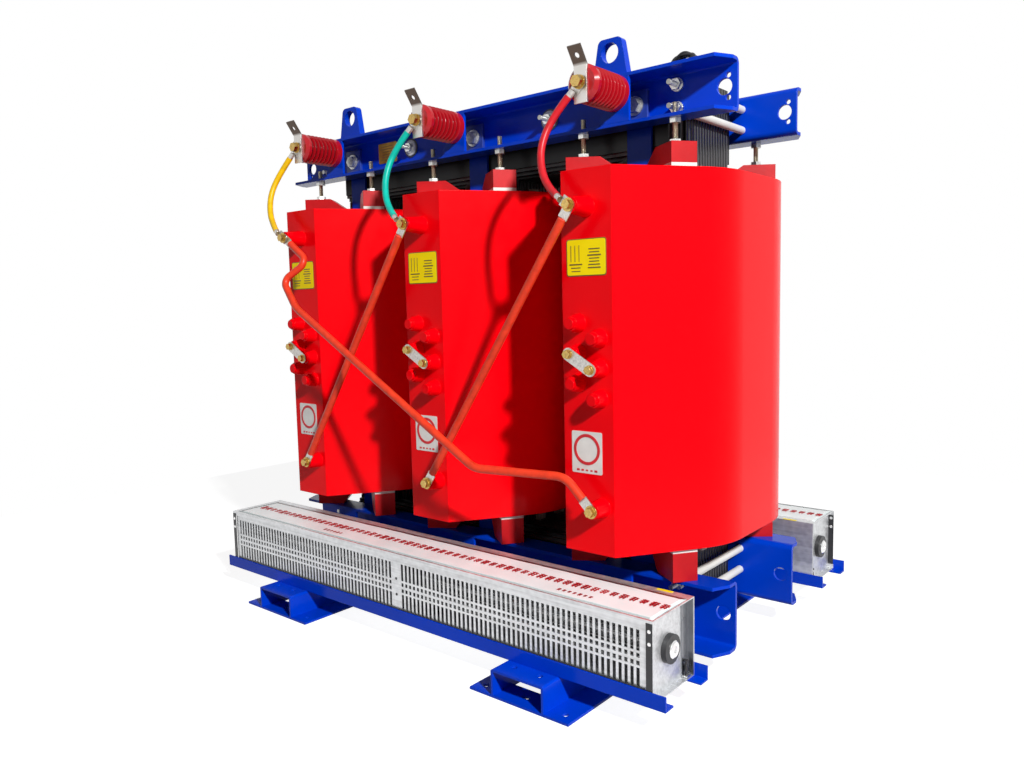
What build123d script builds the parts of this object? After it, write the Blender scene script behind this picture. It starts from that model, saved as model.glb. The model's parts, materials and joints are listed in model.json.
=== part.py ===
"""Three-phase cast-resin dry type transformer with two cross-flow cooling fans.

Frame: millimetres, +Z up, origin at the middle of the footprint on the floor.
+X runs along the row of three coils and -Y is the high-voltage (front) side.
"""
from build123d import *
from math import acos, atan2, cos, degrees, radians, sin, sqrt, tan
import os

# ---------------------------------------------------------------- driving sizes
COIL_PITCH = 516.0          # between neighbouring limbs
FLOOR = 0.0
TOUCH = 0.3                 # room left round a bought-in pin or rod

# feet: hat-section cross members
FOOT_X = 451.0              # each side of the middle
FOOT_LENGTH = 1178.0
FOOT_HEIGHT = 66.0
FOOT_TOP_WIDTH = 148.0
FOOT_SPREAD = 278.0         # over both floor flanges
FOOT_SHEET = 6.0
FOOT_BEND = 6.0             # outside radius of the folds
FOOT_FLOOR_PLATE = 70.0     # length of the plate closing each end of the hat
FOOT_HOLE = 14.0
FOOT_TOP_HOLE_SPAN = 72.0
FOOT_HOLE_FROM_END = 38.0
FOOT_ANCHOR_X = 112.0       # anchor hole from the foot's middle line
FOOT_ANCHOR_FROM_END = 28.0

# clamps: folded channels, flanges outwards
CLAMP_LENGTH = 1534.0
CLAMP_SHEET = 8.0
CLAMP_WEB_Y = 174.0         # outer face of the web
CLAMP_BEND = 14.0           # outside radius of the folds
CLAMP_TIP_CUT_X = 22.0      # corner cut of each flange
CLAMP_TIP_CUT_Y = 44.0
UPPER_CLAMP_BOTTOM = 1280.0
UPPER_CLAMP_HEIGHT = 116.0
UPPER_FLANGE = 66.0
LOWER_CLAMP_HEIGHT = 164.0
LOWER_FLANGE = 72.0
CLAMP_END_HOLE = 36.0
CLAMP_END_HOLE_X = 737.0
CLAMP_SMALL_HOLE = 12.0
CLAMP_SMALL_HOLE_X = 746.0
CLAMP_SMALL_HOLE_RISE = 24.0  # above and below the large hole

# core
LIMB_STEPS = ((94.0, 112.0), (84.0, 132.0), (68.0, 147.0), (52.0, 157.0))   # half width, half depth
YOKE_HEIGHT = 186.0
YOKE_GAP = 24.0             # bottom yoke above the lower edge of its clamps
YOKE_ABOVE = 6.0            # top yoke above its clamps
YOKE_LEFT_OUT = 30.0        # bottom yoke lower than the top one
YOKE_STEP_DROP = 0.5        # share of each step by which the yoke's outer steps are lower

# coils
COIL_HEIGHT = 860.0
PAD_THICKNESS = 9.0
BLOCK_HEIGHT = 68.0         # lower support block
HV_OUTER = 228.0
HV_WALL = 55.0
OVAL_STRAIGHT = 176.0       # straight side of every oval turn
PANEL_REACH = 393.0
PANEL_WIDTH = 134.0
LV_OUTER = 150.0
LV_WALL = 42.0
LV_SHORTER = 12.0           # low-voltage winding ends inside the cast coil

# cast bosses on the terminal panel
TOP_BOSS_Z = 84.0           # below the coil's top edge
TOP_BOSS_REACH = 58.0
BOTTOM_BOSS_Z = 109.0       # above the coil's bottom edge
BOTTOM_BOSS_X = 34.0
BOTTOM_BOSS_REACH = 40.0
MAIN_BOSS_BASE = 46.0
MAIN_BOSS_TIP = 36.0
TAP_BOSS_BASE = 43.0
TAP_BOSS_TIP = 34.0
TAP_BOSS_REACH = 29.0       # length of the cone
TAP_PLUG_D = 27.0           # moulded plug that closes a tap that no link uses
TAP_PLUG_REACH = 8.0
TAP_PLUG_ROUND = 2.0
TAP_COLUMN = 28.5           # each column from the middle of the two
TAP_MIDDLE_X = 3.5          # middle of the two columns from the panel's middle line
TAP_STEP = 33.5             # each tap lower than the last
TAP_TOP_Z = 338.0           # first tap below the coil's top edge
TAP_COUNT = 6
LINKED_TAPS = (2, 3)

# bolts
STUD_D = 12.0
NUT_AF = 24.0
NUT_T = 11.0
WASHER_D = 30.0
WASHER_T = 3.0
TAP_BOLT_AF = 17.0
TAP_BOLT_T = 8.0
TAP_WASHER_D = 22.0
TAP_WASHER_T = 2.0
TAP_LINK_WIDTH = 29.0
TERMINAL_AF = 19.0
TERMINAL_T = 10.0
TERMINAL_WASHER_D = 30.0
INSULATOR_BOLT_AF = 24.0
INSULATOR_BOLT_T = 14.0
INSULATOR_WASHER_D = 31.0

# support blocks between coil and clamp
BLOCK_LENGTH = 126.0
BLOCK_WIDTH = 62.0
BLOCK_TAPER = 44.0          # length of the sloped inner end
BLOCK_NOSE = 16.0           # height left at the inner end
BLOCK_OUT_X = 160.0         # middle of the block's outer end from the limb's middle
BLOCK_OUT_Y = 243.0
BLOCK_TURN = 35.4           # long axis from the X axis, degrees
TOP_BLOCK_HEIGHT = 46.0
JACK_SCREW_D = 12.0
JACK_AT = 44.0              # along the block from its outer end
JACK_STANDS_OUT = 26.0      # screw end above the clamp flange

# high-voltage post insulators and their brackets
POST_X = -22.0              # from the limb's middle
POST_D = 84.0
POST_GROOVE_D = 68.0
POST_LENGTH = 130.0
POST_RIBS = 7
POST_GROOVE_IN = 0.3        # start and end of each groove's floor, as shares of the rib pitch
POST_GROOVE_OUT = 0.5
POST_END_LAND = 17.0
POST_END_CAP = 8.0
POST_Z = 1355.0
BRACKET_SHEET = 8.0
BRACKET_LEFT = -63.0        # from the limb's middle
BRACKET_RIGHT = 18.0
BRACKET_FOOT = 13.0         # straight foot before each slope
BRACKET_SLOPE = 36.0
STRIP_WIDTH = 34.0
STRIP_SHEET = 5.0
STRIP_UP = 38.0             # flat part above the post's middle
STRIP_DOWN = 44.0
STRIP_TAB = 46.0            # sloped tab
STRIP_TAB_LEAN = 35.0       # degrees from upright
STRIP_HOLE = 13.0

# lifting lugs
LUG_X = 474.0
LUG_Y = 215.0
LUG_THICKNESS = 20.0
LUG_BASE = 95.0
LUG_TOP = 62.0
LUG_HEIGHT = 90.0
LUG_HOLE = 46.0
LUG_HOLE_Z = 57.0           # hole above the lug's foot
LUG_CORNER = 14.0

# tie plates from clamp to clamp
TIE_WIDTH = 66.0
TIE_THICKNESS = 7.0
TIE_PAD_Z = 87.0            # height of the pad on the upper web
TIE_PAD_THICKNESS = 9.0
TIE_BOLT_AF = 30.0
TIE_WASHER_D = 45.0
TIE_BOLT_Z = 52.0           # above the clamp's lower edge

# clamp studs
END_STUD_X = 624.0
END_STUD_UPPER = (30.0, 82.0)       # above the upper clamp's lower edge
END_STUD_LOWER = (74.0, 132.0)      # above the lower clamp's lower edge
MID_STUD_X = 258.0
MID_STUD_Z = 62.0
STUD_ROOM = 1.0             # round each stud in its web hole
SLEEVE_D = 20.0
STUD_STANDS_OUT = 44.0
MID_WASHER_D = 46.0
MID_WASHER_T = 6.0

# fans
FAN_LENGTH = 1510.0
FAN_HEIGHT = 175.0
FAN_INNER_Y = 352.0
FAN_OUTER_Y = 526.0
FAN_SHEET = 2.5
FAN_LIP = 13.0
FAN_END_RECESS = 15.0
SLOT_PITCH = 14.2
SLOT_WIDTH = 8.0
SLOT_COLUMNS = 50
SLOT_LENGTH = 44.0
SLOT_FIELD_HALF_GAP = 19.0  # plain strip in the middle of the grille
SLOT_ROW_Z = 40.0           # middle of each slot row from the grille's middle
SQUARE_ROW_Z = 8.0          # the same for the two rows of small holes between them
SQUARE_HEIGHT = 9.5
GRILLE_SHEET = 1.5
CORNER_ANGLE_LEG = 30.0     # upright angle in each recessed end, at the inner corner
ROTOR_D = 112.0
ROTOR_BLADES = 18
BLADE_DEPTH = 14.0
BLADE_THICKNESS = 1.6
ROTOR_DISC = 4.0
ROTOR_SHAFT_D = 12.0
END_PLATE_HOLE = 24.0       # shaft hole in each end plate
ROTOR_RUNNING_GAP = 0.05
ROTOR_FROM_END = 24.0
MOTOR_D = 100.0
MOTOR_LENGTH = 110.0
MOTOR_ROTOR_GAP = 14.0
BEARING_D = 62.0
BEARING_T = 12.0

# fan rails: angles laid across the feet
RAIL_LENGTH = 1570.0
RAIL_LEG = 32.0
RAIL_SHEET = 4.0

# leads, links and low-voltage bars
LEAD_D = 17.0
LINK_D = 20.0
LUG_SHEET = 3.0             # flat palm of every lead and link
LUG_WIDTH = 25.0
LEAD_NECK = 22.0            # bolt to the start of a lead lug's barrel
BARREL_D = 15.0
BARREL_LENGTH = 16.0
LINK_NECK = 34.0            # bolt to the end of a link's red sleeve
ARC_SHARE = 0.45            # part of the shorter run that each bend of a lead takes
LEAD_ROUTES = (             # x from the limb, y and z, from the post to the coil
    ((-80, -398, 1287), (-98, -424, 1226), (-86, -440, 1166), (-56, -449, 1122)),
    ((-82, -400, 1284), (-95, -425, 1220), (-82, -440, 1160), (-54, -449, 1120)),
    ((-81, -400, 1285), (-97, -425, 1222), (-84, -440, 1163), (-56, -448, 1122)),
)
TUBE_FIRST = (-408, 1009)                # x and z, in the plane of the first palm
TUBE_MIDDLE = ((-478, -490, 956), (-410, -500, 878), (262, -500, 492))
TUBE_LAST = (480, 486)                   # x and z, in the plane of the last palm
TUBE_BENDS = (24.0, 24.0, 120.0, 70.0, 60.0)
SPACER_WIDTH = 30.0         # upright strips between limb and low-voltage winding
SPACER_Y = 45.0
SPACER_ABOVE = 40.0         # above the low-voltage winding
LV_BAR_WIDTH = 70.0
LV_BAR_T = 10.0
LV_BAR_Y = 217.0            # middle of the upright part
LV_BAR_REACH = 372.0        # rear end of the phase bars
LV_BAR_RISE = 28.0          # bar above or below the high-voltage coil
LV_BAR_BEND = 14.0
LV_HOLE = 14.0
LV_HOLE_STEP = 28.0
LV_HOLE_FROM_END = 16.0
STAR_BAR_HEIGHT = 50.0
STAR_BAR_OVER = 74.0        # past the last riser
CABLE_COIL_X = 550.0        # coil of sensor cable on the top yoke
CABLE_COIL_D = 66.0
CABLE_COIL_THICKNESS = 26.0
FOOT_BOLT_X = 45.0          # from the foot's middle line
FOOT_BOLT_Y = 214.0

# ---------------------------------------------------------------- worked-out places
LIMBS = (-COIL_PITCH, 0.0, COIL_PITCH)
LOWER_CLAMP_BOTTOM = FLOOR + FOOT_HEIGHT
LOWER_CLAMP_TOP = LOWER_CLAMP_BOTTOM + LOWER_CLAMP_HEIGHT
UPPER_CLAMP_TOP = UPPER_CLAMP_BOTTOM + UPPER_CLAMP_HEIGHT
COIL_BOTTOM = LOWER_CLAMP_TOP + BLOCK_HEIGHT + PAD_THICKNESS
COIL_TOP = COIL_BOTTOM + COIL_HEIGHT
CLAMP_INNER_Y = CLAMP_WEB_Y - CLAMP_SHEET
UPPER_TIP_Y = CLAMP_WEB_Y + UPPER_FLANGE
LOWER_TIP_Y = CLAMP_WEB_Y + LOWER_FLANGE
YOKE_TOP_Z = UPPER_CLAMP_TOP + YOKE_ABOVE
TOP_YOKE_BOTTOM = YOKE_TOP_Z - YOKE_HEIGHT
BOTTOM_YOKE_BOTTOM = LOWER_CLAMP_BOTTOM + YOKE_GAP
BOTTOM_YOKE_TOP = BOTTOM_YOKE_BOTTOM + YOKE_HEIGHT - YOKE_LEFT_OUT
TIE_Y = CLAMP_INNER_Y - TIE_THICKNESS
POST_FRONT_Y = UPPER_TIP_Y + POST_LENGTH
TAP_BOLT_Y = PANEL_REACH + TAP_BOSS_REACH + TAP_PLUG_REACH
TOP_TERMINAL_Z = COIL_TOP - TOP_BOSS_Z
BOTTOM_TERMINAL_Z = COIL_BOTTOM + BOTTOM_BOSS_Z


def front_cylinder(radius, y_from, y_to, x, z):
    """A round bar along Y."""
    length = abs(y_to - y_from)
    return Pos(x, (y_from + y_to) / 2, z) * Rot(90, 0, 0) * Cylinder(radius, length)


def front_cone(base_d, tip_d, y_from, reach, x, z):
    """A cone pointing to the front from the plane y_from."""
    return Pos(x, y_from - reach / 2, z) * Rot(90, 0, 0) * Cone(base_d / 2, tip_d / 2, reach)


def hex_along_y(across_flats, y_from, thickness, x, z):
    """A hexagon head whose back face is at y_from, pointing to the front."""
    head = extrude(RegularPolygon(across_flats / 2, 6, major_radius=False), thickness)
    return Pos(x, y_from, z) * Rot(90, 0, 0) * head


def hex_along_z(across_flats, z_from, thickness, x, y):
    return Pos(x, y, z_from) * extrude(RegularPolygon(across_flats / 2, 6, major_radius=False), thickness)


def box_between(x0, x1, y0, y1, z0, z1):
    return Pos((x0 + x1) / 2, (y0 + y1) / 2, (z0 + z1) / 2) * Box(x1 - x0, y1 - y0, z1 - z0)


def along_x(points, x0, x1):
    """A closed outline of (y, z) points run along X."""
    face = make_face(Polyline([(0, y, z) for y, z in points], close=True))
    return Pos(x0, 0, 0) * extrude(face, x1 - x0, dir=(1, 0, 0))


def to_rear(shape):
    return mirror(shape, about=Plane.XZ)


def oval(radius, height):
    """An oval turn with straight sides along Y."""
    return extrude(SlotCenterToCenter(OVAL_STRAIGHT, 2 * radius, rotation=90), height)


# ---------------------------------------------------------------- core
def limb_section():
    section = None
    for half_width, half_depth in LIMB_STEPS:
        step = Rectangle(2 * half_width, 2 * half_depth)
        section = step if section is None else section + step
    return section


def core_limbs():
    height = TOP_YOKE_BOTTOM - BOTTOM_YOKE_TOP
    return [Pos(x, 0, BOTTOM_YOKE_TOP) * extrude(limb_section(), height) for x in LIMBS]


def yoke(z0, z1):
    """A stepped yoke: each package of sheets is as deep as in the limb."""
    half_length = COIL_PITCH + LIMB_STEPS[0][0]
    widest = LIMB_STEPS[0][0]
    body = None
    for half_width, half_depth in LIMB_STEPS:
        drop = (widest - half_width) * YOKE_STEP_DROP
        layer = box_between(-half_length + drop, half_length - drop, -half_depth, half_depth,
                            z0 + drop, z1 - drop)
        body = layer if body is None else body + layer
    return body


# ---------------------------------------------------------------- coils
def panel_wedge():
    """The flat terminal panel with flanks that run tangent into the round coil."""
    half, centre_y = PANEL_WIDTH / 2, -OVAL_STRAIGHT / 2
    to_corner = sqrt(half ** 2 + (PANEL_REACH + centre_y) ** 2)
    angle = atan2(-PANEL_REACH - centre_y, half) + acos(HV_OUTER / to_corner)
    flank_x = HV_OUTER * cos(angle)
    flank_y = centre_y + HV_OUTER * sin(angle)
    outline = [(half, -PANEL_REACH), (flank_x, flank_y), (-flank_x, flank_y), (-half, -PANEL_REACH)]
    return extrude(make_face(Polyline(outline, close=True)), COIL_HEIGHT)


def tap_places():
    """Middle of each tap boss on the panel, from the limb and the floor."""
    places = []
    for number in range(TAP_COUNT):
        side = -1 if number % 2 == 0 else 1
        places.append((TAP_MIDDLE_X + side * TAP_COLUMN, COIL_TOP - TAP_TOP_Z - number * TAP_STEP))
    return places


def tap_boss(x, z):
    """A cone on the panel that ends in a moulded plug with a rounded rim."""
    plug = Cylinder(TAP_PLUG_D / 2, TAP_PLUG_REACH)
    plug = fillet(plug.edges().group_by(Axis.Z)[-1], TAP_PLUG_ROUND)
    cone_end = -PANEL_REACH - TAP_BOSS_REACH
    plug = Pos(x, cone_end - TAP_PLUG_REACH / 2, z) * Rot(90, 0, 0) * plug
    return front_cone(TAP_BOSS_BASE, TAP_BOSS_TIP, -PANEL_REACH, TAP_BOSS_REACH, x, z) + plug


def hv_coil(limb_x):
    body = oval(HV_OUTER, COIL_HEIGHT) + panel_wedge() - oval(HV_OUTER - HV_WALL, COIL_HEIGHT)
    body = Pos(0, 0, COIL_BOTTOM) * body
    body += front_cone(MAIN_BOSS_BASE, MAIN_BOSS_TIP, -PANEL_REACH, TOP_BOSS_REACH, 0, TOP_TERMINAL_Z)
    body += front_cone(MAIN_BOSS_BASE, MAIN_BOSS_TIP, -PANEL_REACH, BOTTOM_BOSS_REACH,
                       BOTTOM_BOSS_X, BOTTOM_TERMINAL_Z)
    for x, z in tap_places():
        body += tap_boss(x, z)
    return Pos(limb_x, 0, 0) * body


def lv_winding(limb_x):
    height = COIL_HEIGHT - 2 * LV_SHORTER
    body = oval(LV_OUTER, height) - oval(LV_OUTER - LV_WALL, height)
    return Pos(limb_x, 0, COIL_BOTTOM + LV_SHORTER) * body


# ---------------------------------------------------------------- clamps
def clamp(z0, height, flange):
    """Front clamp channel: web inside, flanges to the front."""
    z1 = z0 + height
    tip = -CLAMP_WEB_Y - flange
    inner, web = -CLAMP_INNER_Y, -CLAMP_WEB_Y
    outline = [(inner, z0), (tip, z0), (tip, z0 + CLAMP_SHEET), (web, z0 + CLAMP_SHEET),
               (web, z1 - CLAMP_SHEET), (tip, z1 - CLAMP_SHEET), (tip, z1), (inner, z1)]
    half = CLAMP_LENGTH / 2
    body = along_x(outline, -half, half)
    folds = [e for e in body.edges().filter_by(Axis.X) if abs(e.center().Y - inner) < 0.01]
    body = fillet(folds, CLAMP_BEND)
    inside = [e for e in body.edges().filter_by(Axis.X) if abs(e.center().Y - web) < 0.01]
    body = fillet(inside, CLAMP_BEND - CLAMP_SHEET)
    for side in (-1, 1):
        corner = make_face(Polyline([(side * half, tip), (side * (half - CLAMP_TIP_CUT_X), tip),
                                     (side * half, tip + CLAMP_TIP_CUT_Y)], close=True))
        body -= Pos(0, 0, z0) * extrude(corner, height)
        body -= front_cylinder(CLAMP_END_HOLE / 2, web - 1, inner + 1, side * CLAMP_END_HOLE_X, (z0 + z1) / 2)
    return body


def stud_holes(body, places):
    for x, z in places:
        body -= front_cylinder(STUD_D / 2 + STUD_ROOM, -CLAMP_WEB_Y - 1, -CLAMP_INNER_Y + 1, x, z)
    return body


def upper_stud_places():
    places = [(side * END_STUD_X, UPPER_CLAMP_BOTTOM + z) for side in (-1, 1) for z in END_STUD_UPPER]
    return places + [(side * MID_STUD_X, UPPER_CLAMP_BOTTOM + MID_STUD_Z) for side in (-1, 1)]


def lower_stud_places():
    return [(side * END_STUD_X, LOWER_CLAMP_BOTTOM + z) for side in (-1, 1) for z in END_STUD_LOWER]


def jack_places():
    """Jack screws: one over every upper support block."""
    places = []
    for limb in LIMBS:
        for side_x in (-1, 1):
            for side_y in (-1, 1):
                x = BLOCK_OUT_X - JACK_AT * cos(radians(BLOCK_TURN))
                y = BLOCK_OUT_Y - JACK_AT * sin(radians(BLOCK_TURN))
                places.append((limb + side_x * x, side_y * y))
    return places


def upper_clamp():
    body = stud_holes(clamp(UPPER_CLAMP_BOTTOM, UPPER_CLAMP_HEIGHT, UPPER_FLANGE), upper_stud_places())
    for x, y in jack_places():
        if y < 0:
            body -= Pos(x, y, UPPER_CLAMP_BOTTOM) * Cylinder(JACK_SCREW_D / 2 + TOUCH, 3 * CLAMP_SHEET)
    for side in (-1, 1):
        for rise in (-CLAMP_SMALL_HOLE_RISE, CLAMP_SMALL_HOLE_RISE):
            body -= front_cylinder(CLAMP_SMALL_HOLE / 2, -CLAMP_WEB_Y - 1, -CLAMP_INNER_Y + 1,
                                   side * CLAMP_SMALL_HOLE_X, UPPER_CLAMP_BOTTOM + UPPER_CLAMP_HEIGHT / 2 + rise)
    return body


def lower_clamp():
    return stud_holes(clamp(LOWER_CLAMP_BOTTOM, LOWER_CLAMP_HEIGHT, LOWER_FLANGE), lower_stud_places())


def lifting_lug(x, side_y):
    outline = Polyline([(-LUG_BASE / 2, 0), (LUG_BASE / 2, 0), (LUG_TOP / 2, LUG_HEIGHT), (-LUG_TOP / 2, LUG_HEIGHT)],
                       close=True)
    face = make_face(outline)
    top = [v for v in face.vertices() if v.Y > LUG_HEIGHT / 2]
    face = fillet(top, LUG_CORNER) - Pos(0, LUG_HOLE_Z) * Circle(LUG_HOLE / 2)
    lug = Pos(0, LUG_THICKNESS / 2, 0) * Rot(90, 0, 0) * extrude(face, LUG_THICKNESS)
    return Pos(x, side_y * LUG_Y, UPPER_CLAMP_TOP) * lug


def bracket(limb_x, z0, z1, tip_y):
    """A gusset plate welded between the flange tips."""
    low, high = z0 + CLAMP_SHEET, z1 - CLAMP_SHEET
    outline = [(BRACKET_LEFT, low), (BRACKET_RIGHT, low), (BRACKET_RIGHT, high), (BRACKET_LEFT, high),
               (BRACKET_LEFT, high - BRACKET_FOOT), (BRACKET_LEFT + BRACKET_SLOPE, (low + high) / 2),
               (BRACKET_LEFT, low + BRACKET_FOOT)]
    face = make_face(Polyline(outline, close=True))
    plate = Rot(90, 0, 0) * extrude(face, BRACKET_SHEET)
    return Pos(limb_x, -tip_y + BRACKET_SHEET, 0) * plate


def tie_plate(limb_x):
    return box_between(limb_x - TIE_WIDTH / 2, limb_x + TIE_WIDTH / 2, -CLAMP_INNER_Y, -TIE_Y,
                       LOWER_CLAMP_BOTTOM + CLAMP_BEND, UPPER_CLAMP_TOP - CLAMP_BEND)


def tie_pad(limb_x):
    return box_between(limb_x - TIE_WIDTH / 2, limb_x + TIE_WIDTH / 2,
                       -CLAMP_WEB_Y - TIE_PAD_THICKNESS, -CLAMP_WEB_Y,
                       UPPER_CLAMP_BOTTOM + CLAMP_BEND, UPPER_CLAMP_BOTTOM + TIE_PAD_Z)


def tie_bolt(limb_x):
    z = UPPER_CLAMP_BOTTOM + TIE_BOLT_Z
    face = -CLAMP_WEB_Y - TIE_PAD_THICKNESS
    washer = front_cylinder(TIE_WASHER_D / 2, face, face - WASHER_T, limb_x, z)
    return washer + hex_along_y(TIE_BOLT_AF, face - WASHER_T, NUT_T, limb_x, z)


# ---------------------------------------------------------------- support blocks
def block_shape(height, upside_down):
    """A resin block drawn from its outer end along -X, sloped at the inner end."""
    outline = [(0, 0), (0, height), (-BLOCK_LENGTH + BLOCK_TAPER, height), (-BLOCK_LENGTH, BLOCK_NOSE),
               (-BLOCK_LENGTH, 0)]
    if upside_down:
        outline = [(x, height - z) for x, z in outline]
    face = make_face(Polyline([(x, 0, z) for x, z in outline], close=True))
    return Pos(0, BLOCK_WIDTH / 2, 0) * extrude(face, BLOCK_WIDTH, dir=(0, -1, 0))


def round_the_coils(shape, z):
    """Four copies of a block round every limb, front right as drawn and the others mirrored."""
    placed = Pos(BLOCK_OUT_X, -BLOCK_OUT_Y, z) * Rot(0, 0, -BLOCK_TURN) * shape
    copies = []
    for limb in LIMBS:
        for left in (False, True):
            for rear in (False, True):
                copy = mirror(placed, about=Plane.YZ) if left else placed
                copy = mirror(copy, about=Plane.XZ) if rear else copy
                copies.append(Pos(limb, 0, 0) * copy)
    return copies


def pads(z):
    flat_part = BLOCK_LENGTH - BLOCK_TAPER
    pad = Pos(-flat_part / 2, 0, PAD_THICKNESS / 2) * Box(flat_part, BLOCK_WIDTH, PAD_THICKNESS)
    return round_the_coils(pad, z)


def jack_screws():
    bottom = COIL_TOP + PAD_THICKNESS + TOP_BLOCK_HEIGHT
    top = UPPER_CLAMP_BOTTOM + CLAMP_SHEET + JACK_STANDS_OUT
    return [Pos(x, y, (bottom + top) / 2) * Cylinder(JACK_SCREW_D / 2, top - bottom) for x, y in jack_places()]


def jack_nuts():
    block_top = COIL_TOP + PAD_THICKNESS + TOP_BLOCK_HEIGHT
    nuts = []
    for x, y in jack_places():
        for z in (block_top, UPPER_CLAMP_BOTTOM - NUT_T):
            nut = hex_along_z(NUT_AF, z, NUT_T, x, y)
            nuts.append(nut - Pos(x, y, z) * Cylinder(JACK_SCREW_D / 2, 3 * NUT_T))
    return nuts


# ---------------------------------------------------------------- clamp studs
def stud_group(places):
    reach = CLAMP_WEB_Y + STUD_STANDS_OUT
    return [front_cylinder(STUD_D / 2, -reach, reach, x, z) for x, z in places]


def sleeve_group(places):
    sleeves = []
    for x, z in places:
        tube = front_cylinder(SLEEVE_D / 2, -CLAMP_INNER_Y, CLAMP_INNER_Y, x, z)
        sleeves.append(tube - front_cylinder(STUD_D / 2 + TOUCH, -CLAMP_WEB_Y, CLAMP_WEB_Y, x, z))
    return sleeves


def stud_nuts(places):
    nuts = []
    for x, z in places:
        bore = front_cylinder(STUD_D / 2, -2 * CLAMP_WEB_Y, 2 * CLAMP_WEB_Y, x, z)
        washer = front_cylinder(WASHER_D / 2, -CLAMP_WEB_Y, -CLAMP_WEB_Y - MID_WASHER_T, x, z)
        nut = washer + hex_along_y(NUT_AF, -CLAMP_WEB_Y - MID_WASHER_T, NUT_T, x, z) - bore
        nuts += [nut, to_rear(nut)]
    return nuts


# ---------------------------------------------------------------- high-voltage terminals
def post_insulator(limb_x):
    """Ribbed cast post, drawn standing and turned to point to the front."""
    outer, root = POST_D / 2, POST_GROOVE_D / 2
    ribbed = POST_LENGTH - 2 * POST_END_LAND
    step = ribbed / POST_RIBS
    points = [(0, 0), (outer, 0), (outer, POST_END_LAND)]
    for rib in range(POST_RIBS):
        start = POST_END_LAND + rib * step
        points += [(root, start + POST_GROOVE_IN * step), (root, start + POST_GROOVE_OUT * step), (outer, start + step)]
    points += [(outer, POST_LENGTH - POST_END_CAP), (outer - POST_END_CAP, POST_LENGTH), (0, POST_LENGTH)]
    face = make_face(Polyline([(r, 0, h) for r, h in points], close=True))
    post = revolve(face, Axis.Z)
    return Pos(limb_x + POST_X, -UPPER_TIP_Y, POST_Z) * Rot(90, 0, 0) * post


def terminal_strip(limb_x):
    """Tinned strip folded forward at its top, with a hole in the sloped tab."""
    lean = radians(STRIP_TAB_LEAN)
    t = STRIP_SHEET
    out, up = STRIP_TAB * sin(lean), STRIP_TAB * cos(lean)
    outline = [(0, -STRIP_DOWN), (0, STRIP_UP), (-out, STRIP_UP + up),
               (-out - t * cos(lean), STRIP_UP + up - t * sin(lean)), (-t, STRIP_UP - t * tan(lean / 2)), (-t, -STRIP_DOWN)]
    body = along_x(outline, -STRIP_WIDTH / 2, STRIP_WIDTH / 2)
    tab_middle = Pos(0, -out / 2, STRIP_UP + up / 2) * Rot(90 + STRIP_TAB_LEAN, 0, 0)
    body -= tab_middle * Cylinder(STRIP_HOLE / 2, 6 * t)
    return Pos(limb_x + POST_X, -POST_FRONT_Y, POST_Z) * body


def terminal_bolt(limb_x):
    face = -POST_FRONT_Y - STRIP_SHEET - LUG_SHEET
    washer = front_cylinder(INSULATOR_WASHER_D / 2, face, face - WASHER_T, limb_x + POST_X, POST_Z)
    return washer + hex_along_y(INSULATOR_BOLT_AF, face - WASHER_T, INSULATOR_BOLT_T, limb_x + POST_X, POST_Z)


def coil_bolt(x, z, reach):
    face = -PANEL_REACH - reach
    washer = front_cylinder(TERMINAL_WASHER_D / 2, face, face - WASHER_T, x, z)
    return washer + hex_along_y(TERMINAL_AF, face - WASHER_T, TERMINAL_T, x, z)


def coil_bolts():
    bolts = []
    for limb in LIMBS:
        bolts.append(coil_bolt(limb, TOP_TERMINAL_Z, TOP_BOSS_REACH + 2 * LUG_SHEET))
        bolts.append(coil_bolt(limb + BOTTOM_BOSS_X, BOTTOM_TERMINAL_Z, BOTTOM_BOSS_REACH + LUG_SHEET))
    return bolts


def tap_link(limb_x):
    """Flat link across the two middle taps."""
    (x0, z0), (x1, z1) = [tap_places()[n] for n in LINKED_TAPS]
    length = sqrt((x1 - x0) ** 2 + (z1 - z0) ** 2)
    angle = degrees(atan2(z1 - z0, x1 - x0))
    plate = extrude(SlotCenterToCenter(length, TAP_LINK_WIDTH, rotation=angle), WASHER_T)
    return Pos(limb_x + (x0 + x1) / 2, -TAP_BOLT_Y, (z0 + z1) / 2) * Rot(90, 0, 0) * plate


def tap_bolts():
    bolts = []
    for limb in LIMBS:
        for x, z in [tap_places()[number] for number in LINKED_TAPS]:
            face = -TAP_BOLT_Y - WASHER_T
            washer = front_cylinder(TAP_WASHER_D / 2, face, face - TAP_WASHER_T, limb + x, z)
            bolts.append(washer + hex_along_y(TAP_BOLT_AF, face - TAP_WASHER_T, TAP_BOLT_T, limb + x, z))
    return bolts


# ---------------------------------------------------------------- leads and links
def palm(bolt, angle, neck):
    """Flat palm round a bolt, in the plane of its face, pointing along angle."""
    flat = Circle(LUG_WIDTH / 2) + Pos(neck / 2, 0) * Rectangle(neck, LUG_WIDTH)
    plate = extrude(Rot(0, 0, angle) * flat, LUG_SHEET)
    return Pos(bolt.X, bolt.Y + LUG_SHEET / 2, bolt.Z) * Rot(90, 0, 0) * plate


def neck_end(bolt, toward, neck):
    """The angle of a palm that points at toward, and the middle of its far end."""
    angle = atan2(toward.Z - bolt.Z, toward.X - bolt.X)
    return degrees(angle), bolt + Vector(neck * cos(angle), 0, neck * sin(angle))


def bar_between(start, end, diameter):
    line = end - start
    return extrude(Plane(origin=start, z_dir=line) * Circle(diameter / 2), line.length)


def bent_bar(points, radii, diameter):
    path = FilletPolyline(*points, radius=list(radii))
    start = Plane(origin=points[0], z_dir=points[1] - points[0])
    return sweep(start * Circle(diameter / 2), path=path)


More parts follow.
